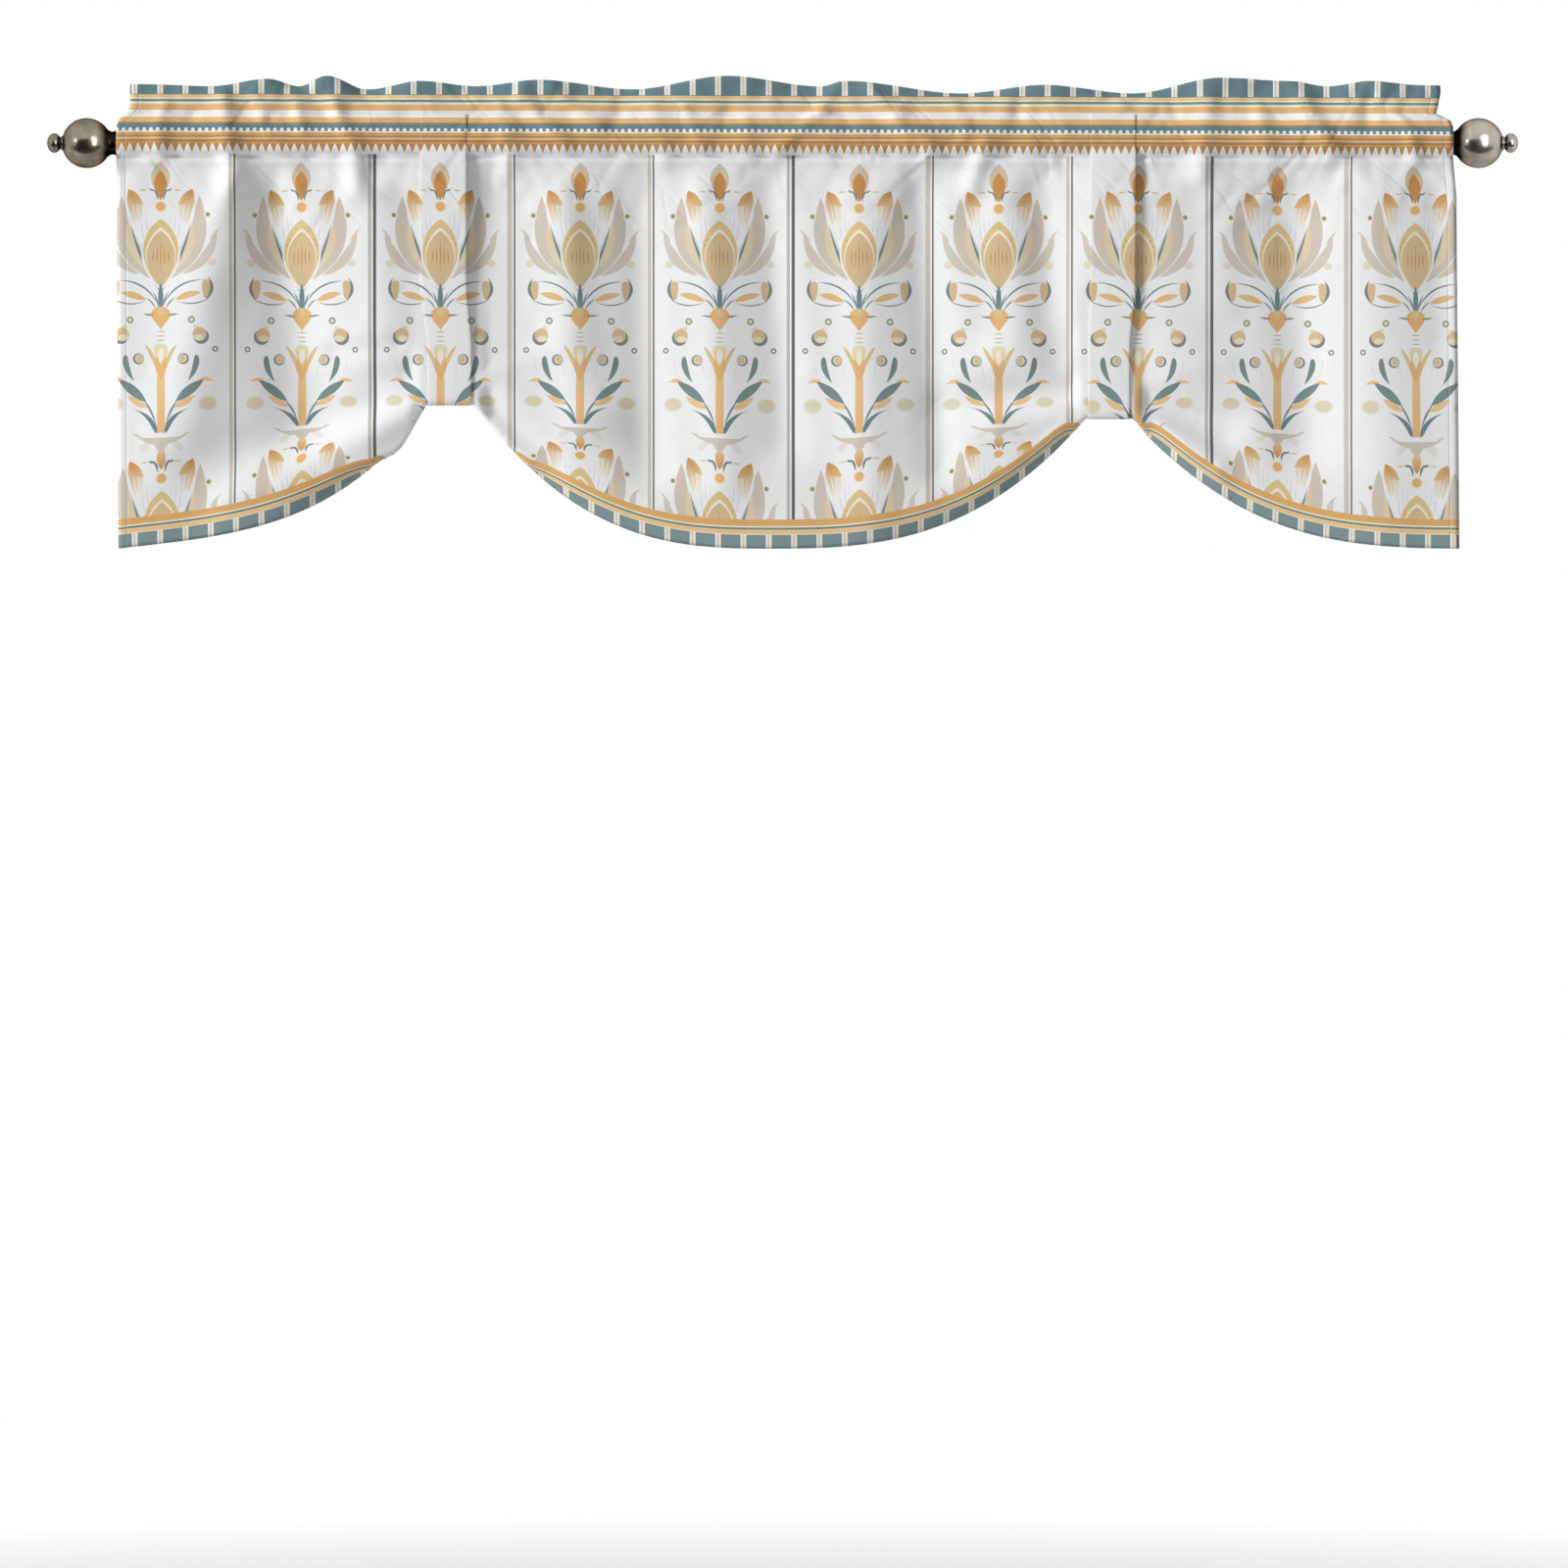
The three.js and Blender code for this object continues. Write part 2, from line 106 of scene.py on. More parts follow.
sun = bpy.data.lights.new("key_sun", "SUN")
sun.energy = KEY_STRENGTH
sun.angle = KEY_SPREAD
key = bpy.data.objects.new("key_sun", sun)
key.location = (-3, -3, 2)
aim(key, KEY_DIRECTION)
key.visible_glossy = False
bpy.context.scene.collection.objects.link(key)
for row in SOFTBOXES:
    box = bpy.data.lights.new(row["name"], "AREA")
    box.shape = "RECTANGLE"
    box.size, box.size_y = row["size"]
    box.energy = row["power"]
    lamp = bpy.data.objects.new(row["name"], box)
    lamp.location = row["place"]
    lamp.visible_diffuse = False
    aim(lamp, -lamp.location)
    bpy.context.scene.collection.objects.link(lamp)

world = bpy.data.worlds.new("studio")
world.use_nodes = True
bpy.context.scene.world = world
bpy.context.scene.view_settings.view_transform = "Standard"


def connect(tree, value, socket):
    """Links a socket, or writes a plain value."""
    if isinstance(value, bpy.types.NodeSocket):
        tree.links.new(value, socket)
    else:
        socket.default_value = value


def node(tree, kind, inputs=None, **settings):
    """Adds a shader node with its settings and inputs."""
    made = tree.nodes.new("ShaderNode" + kind)
    for name, value in settings.items():
        setattr(made, name, value)
    for place, value in (inputs or {}).items():
        connect(tree, value, made.inputs[place])
    return made


def maths(tree, operation, *values):
    """Adds a Math node and returns its result."""
    made = node(tree, "Math", dict(enumerate(values)), operation=operation)
    return made.outputs[0]


def vector_maths(tree, operation, *values):
    """Adds a Vector Math node and returns its result: a number for a length or a dot product."""
    made = node(tree, "VectorMath", dict(enumerate(values)), operation=operation)
    return made.outputs["Value" if operation in ("LENGTH", "DOT_PRODUCT") else "Vector"]


def scaled(tree, value, *span, smooth=False):
    """Takes a value from the span's first two numbers to 0 and 1, or to its last two."""
    kind = "SMOOTHSTEP" if smooth else "LINEAR"
    made = node(tree, "MapRange", dict(enumerate((value, *span))), interpolation_type=kind)
    return made.outputs[0]


def apart(tree, a, b):
    """How far two values are apart."""
    return maths(tree, "ABSOLUTE", maths(tree, "SUBTRACT", a, b))


def seen_directly(tree):
    """Adds up the camera, glossy and transmission rays, which see the plain white background."""
    path = node(tree, "LightPath")
    rays = maths(tree, "MAXIMUM", path.outputs["Is Camera Ray"], path.outputs["Is Glossy Ray"])
    return maths(tree, "MAXIMUM", rays, path.outputs["Is Transmission Ray"])


tree = world.node_tree
background = tree.nodes["Background"]
background.inputs["Color"].default_value = (1, 1, 1, 1)
connect(tree, scaled(tree, seen_directly(tree), 0, 1, AMBIENT, 1), background.inputs["Strength"])

# %% Lay the floor
FLOOR_DROP = 1.62
FLOOR_RADIUS = 9
FLOOR_FADE = (0.9, 2.6)
FLOOR_COLOUR = (0.93, 0.93, 0.93, 1)


def finished_piece(name, mesh, materials):
    """Makes a smooth-shaded object of a bmesh, with its materials."""
    data = bpy.data.meshes.new(name)
    mesh.to_mesh(data)
    mesh.free()
    for material in materials:
        data.materials.append(material)
    data.polygons.foreach_set("use_smooth", [True] * len(data.polygons))
    piece = bpy.data.objects.new(name, data)
    bpy.context.scene.collection.objects.link(piece)
    return piece


def new_material(name, **values):
    """Makes a material, and sets numbers on its shader's own sockets."""
    material = bpy.data.materials.new(name)
    material.use_nodes = True
    shader = material.node_tree.nodes["Principled BSDF"]
    for socket, value in values.items():
        shader.inputs[socket.replace("_", " ")].default_value = value
    return material, material.node_tree, shader


floor_paint, tree, shader = new_material("floor_paint", Base_Color=FLOOR_COLOUR, Roughness=0.9)
place = node(tree, "TexCoord").outputs["Object"]
away = vector_maths(tree, "LENGTH", vector_maths(tree, "MULTIPLY", place, (1, 1, 0)))
fade = scaled(tree, away, *FLOOR_FADE)
glow = node(tree, "Emission", {"Color": (1, 1, 1, 1), "Strength": 1})
faded = node(tree, "MixShader", {0: maths(tree, "MULTIPLY", fade, seen_directly(tree))})
tree.links.new(shader.outputs[0], faded.inputs[1])
tree.links.new(glow.outputs[0], faded.inputs[2])
tree.links.new(faded.outputs[0], tree.nodes["Material Output"].inputs["Surface"])
ground = bmesh.new()
bmesh.ops.create_circle(ground, cap_ends=True, segments=64, radius=FLOOR_RADIUS)
bmesh.ops.translate(ground, verts=ground.verts, vec=(0, 0, -FLOOR_DROP))
floor = finished_piece("floor", ground, [floor_paint])

CARD_HALF_WIDTH = 5.5
CARD_LINE = [(-4.6, 1.3), (-4.6, -1.5), (-1.1, -1.5)]
CARD_COLOUR = (0.06, 0.056, 0.05, 1)
card_paint, tree, shader = new_material("card_paint", Base_Color=CARD_COLOUR, Roughness=0.9)
sheet = bmesh.new()
corners = [
    [sheet.verts.new((side * CARD_HALF_WIDTH, y, z)) for side in (-1, 1)] for y, z in CARD_LINE
]
for (a, b), (c, d) in zip(corners, corners[1:]):
    sheet.faces.new((a, c, d, b))
card = finished_piece("dark_card", sheet, [card_paint])
card.visible_camera = card.visible_diffuse = card.visible_shadow = False
print("floor", FLOOR_DROP, "m below the rod")

# %% [markdown]
# ## The print's bands
# The cloth is white, printed with bands along its top and its lower edge and with columns of a
# flower between them. A picture file could carry the print, but here it is drawn by shader nodes:
# it stays sharp at any size, and the cloth can bend it. The print reads the cloth's own UV map,
# which holds the place on the flat cloth, so bands and flowers follow every fold.
#
# All of the bands are colour ramps. A ramp with constant steps is a row of stripes, one stop each.

# %% Inks
WHITE = (0.93, 0.93, 0.94)
INK = {
    "teal": (108, 137, 144),
    "hem_teal": (132, 153, 156),
    "sea": (124, 152, 154),
    "deep_teal": (106, 138, 144),
    "slate": (128, 141, 140),
    "line": (106, 108, 106),
    "umber": (160, 140, 114),
    "orange": (235, 187, 128),
    "hem_orange": (230, 178, 112),
    "ochre": (212, 166, 108),
    "bark": (186, 136, 84),
    "brown": (196, 144, 88),
    "peach": (244, 204, 150),
    "apricot": (222, 194, 152),
    "gold": (229, 203, 148),
    "flame": (210, 150, 86),
    "ember": (214, 160, 102),
    "taupe": (216, 207, 192),
    "mist": (219, 210, 198),
    "rose": (214, 201, 187),
    "sage": (192, 192, 182),
    "cream": (250, 241, 218),
    "green": (122, 150, 142),
    "olive": (152, 156, 130),
    "khaki": (234, 228, 200),
    "wheat": (206, 190, 156),
    "pale": (228, 220, 192),
    "lilac": (226, 226, 236),
    "sky": (206, 222, 228),
}


def linear(colour):
    """Turns an 8-bit sRGB colour into the linear values that nodes use."""
    return tuple((c / 255) ** 2.2 for c in colour)


def ink(name):
    """A named ink, or the bare cloth, as a linear colour with an alpha of 1."""
    return (*(WHITE if name == "white" else linear(INK[name])), 1)


def stripes(tree, value, low, high, rows):
    """A ramp with constant steps: each row is where its stripe starts and its ink, or None."""
    ramp = node(tree, "ValToRGB", {0: scaled(tree, value, low, high)})
    ramp.color_ramp.interpolation = "CONSTANT"
    stops = ramp.color_ramp.elements
    while len(stops) < len(rows):
        stops.new(0.5)
    for stop, (start, name) in zip(stops, rows):
        stop.position = max(0, (start - low) / (high - low))
        stop.color = (*ink(name or "white")[:3], 1 if name else 0)
    return ramp.outputs[0], ramp.outputs[1]


print(len(INK), "inks")

# %% Band tables, in millimetres of cloth
HEADER_SPAN = (-160, 10)
HEADER_BANDS = [
    (-160, None), (-88, "teal"), (-50.4, "peach"), (-46.6, "cream"), (-45.3, "green"),
    (-43.1, "cream"), (-41.4, "khaki"), (-40.2, "orange"), (-34.4, "white"), (-27.8, "cream"),
    (-27, "orange"), (-21.3, "umber"), (-19.6, "teal"), (-12, "cream"), (-11.2, "ochre"),
    (-7.3, "bark"), (-5.5, "apricot"), (-3.3, "bark"), (-1.2, "ochre"), (3, None),
]
HEM_SPAN = (-60, 35)
HEM_BANDS = [
    (-60, None), (-14, "hem_teal"), (13.8, "cream"), (14.4, "peach"), (18.7, "green"),
    (21, "cream"), (22.4, "hem_orange"), (29.4, None),
]
COLUMN_PITCH = 142.3
COLUMN_ONE = -633.8
BLOCK_PITCH = COLUMN_PITCH / 5.5
BLOCK_GAPS = [(0, None), (19.9, "white"), (21.8, "taupe"), (23.3, "cream")]
BLOCK_FROM = -658.4
TOP_BLOCKS_MIDDLE, TOP_BLOCKS_HALF = -69.2, 18.8
HEM_BLOCKS_HALF = 13.9
DIVIDER_FROM = -568.2
DIVIDERS = ["rose", "sage", "rose"]
DIVIDER_STEPS = (1.9, 6.1, 7.7, 9.7)
DIVIDER_ROWS = [(0, None)]
for turn, name in enumerate(DIVIDERS):
    starts = [turn * COLUMN_PITCH + step for step in DIVIDER_STEPS]
    DIVIDER_ROWS += zip(starts, (name, "white", "line", None))
DIVIDER_TOP = 11
DOT_PITCH = 6.95
TOOTH_PITCH = 8.3
TOOTH_TOP = 0.6
TOOTH_LENGTH = 9
TOOTH_POWER = 1.25
print(len(HEADER_BANDS) + len(HEM_BANDS), "stripes in the bands")

# %% [markdown]
# ## The print's flower
# The flower column is a stylised lotus on a stem, with leaves and berries either side. Every
# petal, leaf and stem in it is one shape, a curved lens with a base, a tip, a width and a bend,
# and every berry is a disc. So two small node groups draw the whole of it. The lens works in its
# own frame: a dot product with one axis says how far along it a place is, one with the other axis
# how far to its side, and a product of two powers gives the half width between base and tip.
# Coordinates are in millimetres, across from the column's middle, where the other half is
# mirrored, and down, with a third that is always 1, so that an axis can carry an offset.

# %% Make the node groups for a leaf and a disc
def new_group(name, inputs, outputs):
    """Starts a node group with named sockets."""
    group = bpy.data.node_groups.new(name, "ShaderNodeTree")
    for direction, sockets in (("INPUT", inputs), ("OUTPUT", outputs)):
        for label, kind in sockets.items():
            group.interface.new_socket(label, in_out=direction, socket_type="NodeSocket" + kind)
    return group, group.nodes.new("NodeGroupInput").outputs, group.nodes.new("NodeGroupOutput")


LEAF_INPUTS = {
    "Place": "Vector", "Lengthwise": "Vector", "Crosswise": "Vector",
    "Bow": "Float", "Base Power": "Float", "Tip Power": "Float", "Gain": "Float", "Soft": "Float",
}
leaf_group, given, result = new_group(
    "printed_leaf", LEAF_INPUTS, {"Mask": "Float", "Along": "Float"}
)
parts = [
    vector_maths(leaf_group, "DOT_PRODUCT", given["Place"], given[axis])
    for axis in ("Lengthwise", "Crosswise")
]
rest = maths(leaf_group, "SUBTRACT", 1, parts[0])
hump = maths(leaf_group, "MULTIPLY", parts[0], rest)
off = maths(leaf_group, "ABSOLUTE", maths(leaf_group, "MULTIPLY_ADD", hump, given["Bow"], parts[1]))
rise = maths(leaf_group, "POWER", parts[0], given["Base Power"])
fall = maths(leaf_group, "POWER", rest, given["Tip Power"])
width = maths(leaf_group, "MULTIPLY", maths(leaf_group, "MULTIPLY", rise, fall), given["Gain"])
inside = maths(leaf_group, "SUBTRACT", width, off)
connect(leaf_group, scaled(leaf_group, inside, 0, given["Soft"]), result.inputs["Mask"])
connect(leaf_group, parts[0], result.inputs["Along"])

disc_group, given, result = new_group(
    "printed_disc", {"Place": "Vector", "Scale": "Vector", "Shift": "Vector", "Soft": "Float"},
    {"Mask": "Float"},
)
local = vector_maths(disc_group, "MULTIPLY_ADD", given["Place"], given["Scale"], given["Shift"])
inside = maths(disc_group, "SUBTRACT", 1, vector_maths(disc_group, "LENGTH", local))
connect(disc_group, scaled(disc_group, inside, 0, given["Soft"]), result.inputs["Mask"])
print("groups:", leaf_group.name, disc_group.name)

# %% Helpers that paint leaves and discs over what is below them
INK_EDGE = 0.5
SOFTEST = 0.9


def group_node(tree, group, inputs):
    """Places a node group with its own values."""
    made = tree.nodes.new("ShaderNodeGroup")
    made.node_tree = group
    for name, value in inputs.items():
        connect(tree, value, made.inputs[name])
    return made.outputs


def blend_colour(tree, factor, below, above):
    """Mixes two colours and returns the result."""
    mixed = node(tree, "Mix", {"Factor": factor}, data_type="RGBA")
    connect(tree, below, mixed.inputs["A"])
    connect(tree, above, mixed.inputs["B"])
    return mixed.outputs["Result"]


def leaf_mask(tree, place, base, tip, half, bend, powers):
    """A leaf's mask, and how far along it a place is."""
    foot = Vector(base)
    length = (Vector(tip) - foot).length
    ahead = (Vector(tip) - foot) / length
    aside = Vector((-ahead.y, ahead.x))
    a, b = powers
    made = group_node(tree, leaf_group, {
        "Place": place, "Lengthwise": Vector((*ahead, -foot.dot(ahead))) / length,
        "Crosswise": Vector((*aside, -foot.dot(aside))) / half, "Bow": -4 * bend / half,
        "Base Power": a, "Tip Power": b, "Gain": 1 / ((a / (a + b)) ** a * (b / (a + b)) ** b),
        "Soft": min(SOFTEST, INK_EDGE / half),
    })
    return made["Mask"], made["Along"]


def disc_mask(tree, place, centre, radius, soft):
    """The mask of a disc or an ellipse."""
    across, down = radius if isinstance(radius, tuple) else (radius, radius)
    made = group_node(tree, disc_group, {
        "Place": place, "Scale": (1 / across, 1 / down, 0),
        "Shift": (-centre[0] / across, -centre[1] / down, 0),
        "Soft": soft or min(SOFTEST, INK_EDGE / min(across, down)),
    })
    return made["Mask"], None


def leaf(x, drop, tip_x, tip_drop, half, inks, bend=0, powers=(1, 1), cover=1):
    """A table's row for a leaf: its base, tip, half width and inks, from the base to the tip. Bend
    is how far its middle bows, to the right as it is drawn upwards. Powers make the base and the
    tip round below 1 and thin above it."""
    shape = dict(base=(x, drop), tip=(tip_x, tip_drop), half=half, bend=bend, powers=powers)
    return inks, cover, leaf_mask, shape


def disc(x, drop, radius, inks, soft=None):
    """A table's row for a disc, or with two radii an ellipse: its centre, radius and ink."""
    return inks, 1, disc_mask, dict(centre=(x, drop), radius=radius, soft=soft)


def paint(tree, below, place, rows):
    """Paints a table's shapes in order. Neighbouring rows in one ink are laid down together."""
    for (inks, cover), same in itertools.groupby(rows, key=lambda row: row[:2]):
        first, *second = map(ink, inks.split())
        joined = None
        for _, _, draw, shape in same:
            mask, along = draw(tree, place, **shape)
            if cover < 1:
                mask = maths(tree, "MULTIPLY", mask, cover)
            if second:
                below = blend_colour(tree, mask, below, first)
                below = blend_colour(tree, maths(tree, "MULTIPLY", mask, along), below, *second)
            else:
                joined = mask if joined is None else maths(tree, "MAXIMUM", joined, mask)
        if joined is not None:
            below = blend_colour(tree, joined, below, first)
    return below


# %% Flower tables: leaves and discs of one column, from the back to the front
FLOWER = [
    leaf(22, 134, 57, 90, 5.2, "taupe mist", bend=7, powers=(0.8, 0.9)),
    leaf(51, 101, 62, 85.5, 1.9, "mist", bend=-1.6, powers=(0.4, 1)),
    leaf(5, 141, 39, 51, 13.2, "white", bend=11.5, powers=(0.9, 1)),
    leaf(5, 141, 39, 53, 11.5, "taupe rose", bend=11.5, powers=(0.9, 1)),
    leaf(15, 130, 33, 80, 5.4, "khaki peach", bend=4, cover=0.6),
    leaf(1, 151, 33.5, 50, 10, "white", bend=-1.2, powers=(1.1, 0.7)),
    leaf(3, 122, 17, 58, 9, "white", bend=-1, powers=(1, 0.7)),
    leaf(6, 112, 10, 70, 0.8, "lilac", bend=1),
    leaf(10, 106, 15.5, 66, 0.8, "lilac", bend=1),
    leaf(15, 108, 20, 72, 0.9, "lilac", bend=1),
    leaf(19, 84, 29.5, 51, 7.6, "white gold", bend=0.6, powers=(1, 0.4)),
    leaf(26.5, 84, 31.6, 47, 4.6, "cream flame", bend=-0.8, powers=(1, 0.6)),
    leaf(17, 63, 31.2, 48.5, 4.6, "gold flame", bend=1.4, powers=(1, 0.7)),
    leaf(20.5, 80, 25.5, 60, 0.9, "white", cover=0.8),
    leaf(25, 82, 29, 60, 0.9, "white", cover=0.8),
    leaf(6, 140, 30, 84, 2.2, "sky", bend=1.4),
    leaf(0.3, 152, 31.6, 78, 1.7, "deep_teal slate", bend=3.8, powers=(0.6, 1)),
    leaf(0, 151, 0, 75.5, 20.2, "white", powers=(0.95, 0.85)),
    leaf(0, 148, 0, 77.5, 18.4, "gold", powers=(0.95, 0.8)),
    leaf(0, 147, 0, 86, 15.6, "cream", powers=(0.9, 0.8)),
    leaf(0, 147, 0, 89.5, 14.7, "apricot", powers=(0.9, 0.8)),
    leaf(0, 148, 0, 128, 6, "wheat", cover=0.5),
    leaf(0, 133, 0, 96, 0.8, "brown"),
    leaf(4, 127, 3.4, 104, 0.8, "brown"),
    leaf(8.4, 124, 7.4, 107, 0.8, "brown"),
    leaf(12.5, 48, 21.5, 48.4, 1.1, "gold"),
    leaf(0, 58, 0, 19, 9.8, "gold rose", powers=(1.4, 1)),
    leaf(0, 60, 0, 28, 6.6, "flame", powers=(1.3, 0.9)),
    leaf(3, 58, 6.9, 47.6, 1.2, "slate", bend=-1.2, powers=(0.4, 0.3)),
    leaf(5.8, 48.2, 11.6, 45.4, 1.1, "slate", bend=1.2, powers=(0.3, 0.6)),
]
FLOWER_DISCS = [
    disc(12.5, 97.5, 0.9, "brown"),
    disc(15, 103, 0.9, "brown"),
    disc(0, 64.7, 7, "cream"),
    disc(0, 64.7, 5.1, "orange"),
    disc(47.7, 73, 4, "cream"),
    disc(47.7, 73, 2.5, "olive"),
    disc(51.5, 122, (4.6, 4), "khaki"),
]
CURLED_LEAF = [
    leaf(0, 172, 0, 142, 2.9, "slate deep_teal", powers=(0.8, 0.9)),
    leaf(2, 171, 9, 150, 1, "teal", bend=-1.5),
    leaf(46.6, 159, 45.6, 139.5, 5, "apricot", bend=1, powers=(0.45, 0.35)),
    leaf(1.5, 168, 44, 140, 1.1, "teal", bend=-8.5, powers=(0.7, 0.6)),
    leaf(14, 160.5, 51, 157.5, 0.9, "slate", bend=5, powers=(0.7, 0.6)),
    leaf(15, 160, 41, 152.5, 3.6, "orange gold", bend=-1, powers=(0.8, 0.8)),
    leaf(46.4, 160, 47.4, 135.5, 1.9, "slate", bend=5, powers=(0.7, 0.9)),
    leaf(4.5, 171, 17, 157, 1, "slate", bend=-2),
    leaf(0, 191, 0, 167, 10, "orange", powers=(1.35, 0.6)),
    leaf(0, 177, 0, 167, 4.2, "gold"),
    leaf(7, 175.8, 19.5, 174.4, 1.3, "olive", powers=(0.5, 1)),
]
BERRY_DISCS = [
    disc(0, 192.4, (5.6, 0.9), "wheat"),
    disc(0, 197, (5.6, 0.9), "wheat"),
    disc(0, 201.4, (5.6, 0.9), "wheat"),
    disc(31.4, 180.4, 3.8, "olive"),
    disc(31.4, 180.4, 2.2, "khaki"),
    disc(55, 210, 3.2, "slate"),
    disc(55, 210, 1.7, "white"),
    disc(36, 187.6, (3.6, 2.2), "khaki"),
    disc(41, 197.4, 8, "slate"),
    disc(39.5, 195.2, 7.3, "apricot"),
    disc(38.6, 198.6, (5.4, 3.4), "khaki"),
    disc(23, 220.2, 5.9, "slate"),
    disc(22.2, 219.9, 4.5, "cream"),
    disc(21.8, 219.8, 3.8, "apricot"),
    disc(47.5, 266.5, (10.4, 8.4), "pale", soft=0.3),
]
STEM = [
    leaf(39, 240, 46, 212, 0.5, "sky", bend=3),
    leaf(14, 250, 28, 206, 0.5, "sky", bend=-4),
    leaf(27.5, 243, 36.6, 216.4, 3.2, "sea slate", bend=2.4, powers=(0.8, 0.35)),
    leaf(12, 270.5, 35, 257.5, 3.7, "peach", bend=1),
    leaf(37.5, 242.5, 53, 243.5, 2.3, "peach", bend=-2.4, powers=(0.6, 0.9)),
    leaf(14.5, 265, 44, 241, 4.9, "sea slate", bend=-0.6),
    leaf(4.6, 289, 19, 260, 1.3, "slate", bend=-1.6),
    leaf(4.2, 296, 34, 270.5, 2.9, "deep_teal slate", bend=-6, powers=(0.45, 1.8)),
    leaf(2, 237, 16.4, 205.5, 2.4, "gold", bend=-2, powers=(0.7, 0.6)),
    leaf(0, 304, 0, 222, 4.4, "orange peach", powers=(0.1, 0.12)),
    leaf(0, 242, 0, 213, 6.6, "orange", powers=(1, 0.7)),
    leaf(0, 228, 0, 204.5, 7.2, "gold khaki", powers=(1.1, 0.35)),
    leaf(0, 226, 0, 209, 3.4, "cream", powers=(1, 0.6)),
]
FOOT = [
    leaf(0, 338, 0, 296, 11.5, "white", powers=(0.8, 0.5)),
    leaf(4.2, 336, 8.6, 324.6, 1.5, "slate", bend=-1.6, powers=(0.5, 0.3)),
    leaf(7, 325.8, 13, 324.8, 1.2, "slate teal", bend=0.8, powers=(0.4, 0.6)),
    leaf(0, 334, 0, 313, 4.8, "flame peach", powers=(0.8, 0.6)),
    leaf(12, 306, 21, 316, 4, "rose cream", bend=-1, powers=(0.5, 0.5), cover=0.35),
    leaf(0, 304.6, 26, 299.5, 3.6, "taupe", bend=1.6, powers=(0.2, 0.9)),
    leaf(21, 301.5, 30, 296.5, 1.4, "taupe", bend=-0.8, powers=(0.5, 0.8)),
    leaf(0, 319, 0, 301, 7.5, "taupe", powers=(1.1, 0.35)),
    leaf(0, 315, 0, 304, 2, "rose", powers=(1, 0.6)),
]
DOTS = [disc(0, -13.4, 2.2, "white")]
REPEAT = 278
REPEAT_SWITCH = 306
print(len(FLOWER) + len(CURLED_LEAF) + len(STEM) + len(FOOT), "leaves drawn in half a column")

# %% [markdown]
# One node group now holds the whole print. Its inputs are the place on the flat cloth and the
# distance from the hem's edge, and it puts out a colour. The bands at the hem follow the cut edge,
# so they turn with it where the cloth rolls up under a tie.

# %% Make the print
PRINT_INPUTS = {"Across": "Float", "Drop": "Float", "Hem": "Float"}
valance_print, given, result = new_group("valance_print", PRINT_INPUTS, {"Color": "Color"})
tree = valance_print
across = maths(tree, "DIVIDE", given["Across"], MM)
drop = maths(tree, "DIVIDE", given["Drop"], MM)
hem = maths(tree, "DIVIDE", given["Hem"], MM)

half_pitch = COLUMN_PITCH / 2
in_column = maths(tree, "WRAP", across, COLUMN_ONE + half_pitch, COLUMN_ONE - half_pitch)
mirrored = apart(tree, in_column, COLUMN_ONE)
later = maths(tree, "GREATER_THAN", drop, REPEAT_SWITCH)
repeated = maths(tree, "MULTIPLY_ADD", later, -REPEAT, drop)
place = node(tree, "CombineXYZ", {0: mirrored, 1: repeated, 2: 1}).outputs[0]
colour = ink("white")
for table in (FLOWER, FLOWER_DISCS, CURLED_LEAF, BERRY_DISCS, STEM):
    colour = paint(tree, colour, place, table)
first_place = node(tree, "CombineXYZ", {0: mirrored, 1: drop, 2: 1}).outputs[0]
colour = paint(tree, colour, first_place, FOOT)

divider_run = len(DIVIDERS) * COLUMN_PITCH
along_run = maths(tree, "WRAP", across, DIVIDER_FROM + divider_run, DIVIDER_FROM)
from_divider = maths(tree, "SUBTRACT", along_run, DIVIDER_FROM)
divider_ink, divider_mask = stripes(tree, from_divider, 0, divider_run, DIVIDER_ROWS)
below_top = maths(tree, "GREATER_THAN", drop, DIVIDER_TOP)
colour = blend_colour(tree, maths(tree, "MULTIPLY", divider_mask, below_top), colour, divider_ink)

in_tooth = maths(tree, "PINGPONG", across, TOOTH_PITCH / 2)
tooth_share = maths(tree, "POWER", maths(tree, "DIVIDE", in_tooth, TOOTH_PITCH / 2), TOOTH_POWER)
tooth_low = maths(tree, "MULTIPLY_ADD", tooth_share, TOOTH_LENGTH, TOOTH_TOP)
above_tip = maths(tree, "LESS_THAN", drop, tooth_low)
colour = blend_colour(tree, above_tip, colour, ink("brown"))
header_ink, _ = stripes(tree, drop, *HEADER_SPAN, HEADER_BANDS)
above_teeth = maths(tree, "LESS_THAN", drop, TOOTH_TOP)
colour = blend_colour(tree, above_teeth, colour, header_ink)
in_dot = maths(tree, "SUBTRACT", maths(tree, "WRAP", across, DOT_PITCH, 0), DOT_PITCH / 2)
dot_place = node(tree, "CombineXYZ", {0: in_dot, 1: drop, 2: 1}).outputs[0]
colour = paint(tree, colour, dot_place, DOTS)

hem_ink, hem_mask = stripes(tree, hem, *HEM_SPAN, HEM_BANDS)
colour = blend_colour(tree, hem_mask, colour, hem_ink)
in_block = maths(tree, "WRAP", maths(tree, "SUBTRACT", across, BLOCK_FROM), BLOCK_PITCH, 0)
block_ink, block_mask = stripes(tree, in_block, 0, BLOCK_PITCH, BLOCK_GAPS)
top_blocks = maths(tree, "LESS_THAN", apart(tree, drop, TOP_BLOCKS_MIDDLE), TOP_BLOCKS_HALF)
hem_blocks = maths(tree, "LESS_THAN", maths(tree, "ABSOLUTE", hem), HEM_BLOCKS_HALF)
blocks = maths(tree, "MULTIPLY", maths(tree, "MAXIMUM", top_blocks, hem_blocks), block_mask)
colour = blend_colour(tree, blocks, colour, block_ink)
connect(tree, colour, result.inputs["Color"])
print(len(tree.nodes), "nodes in the print")

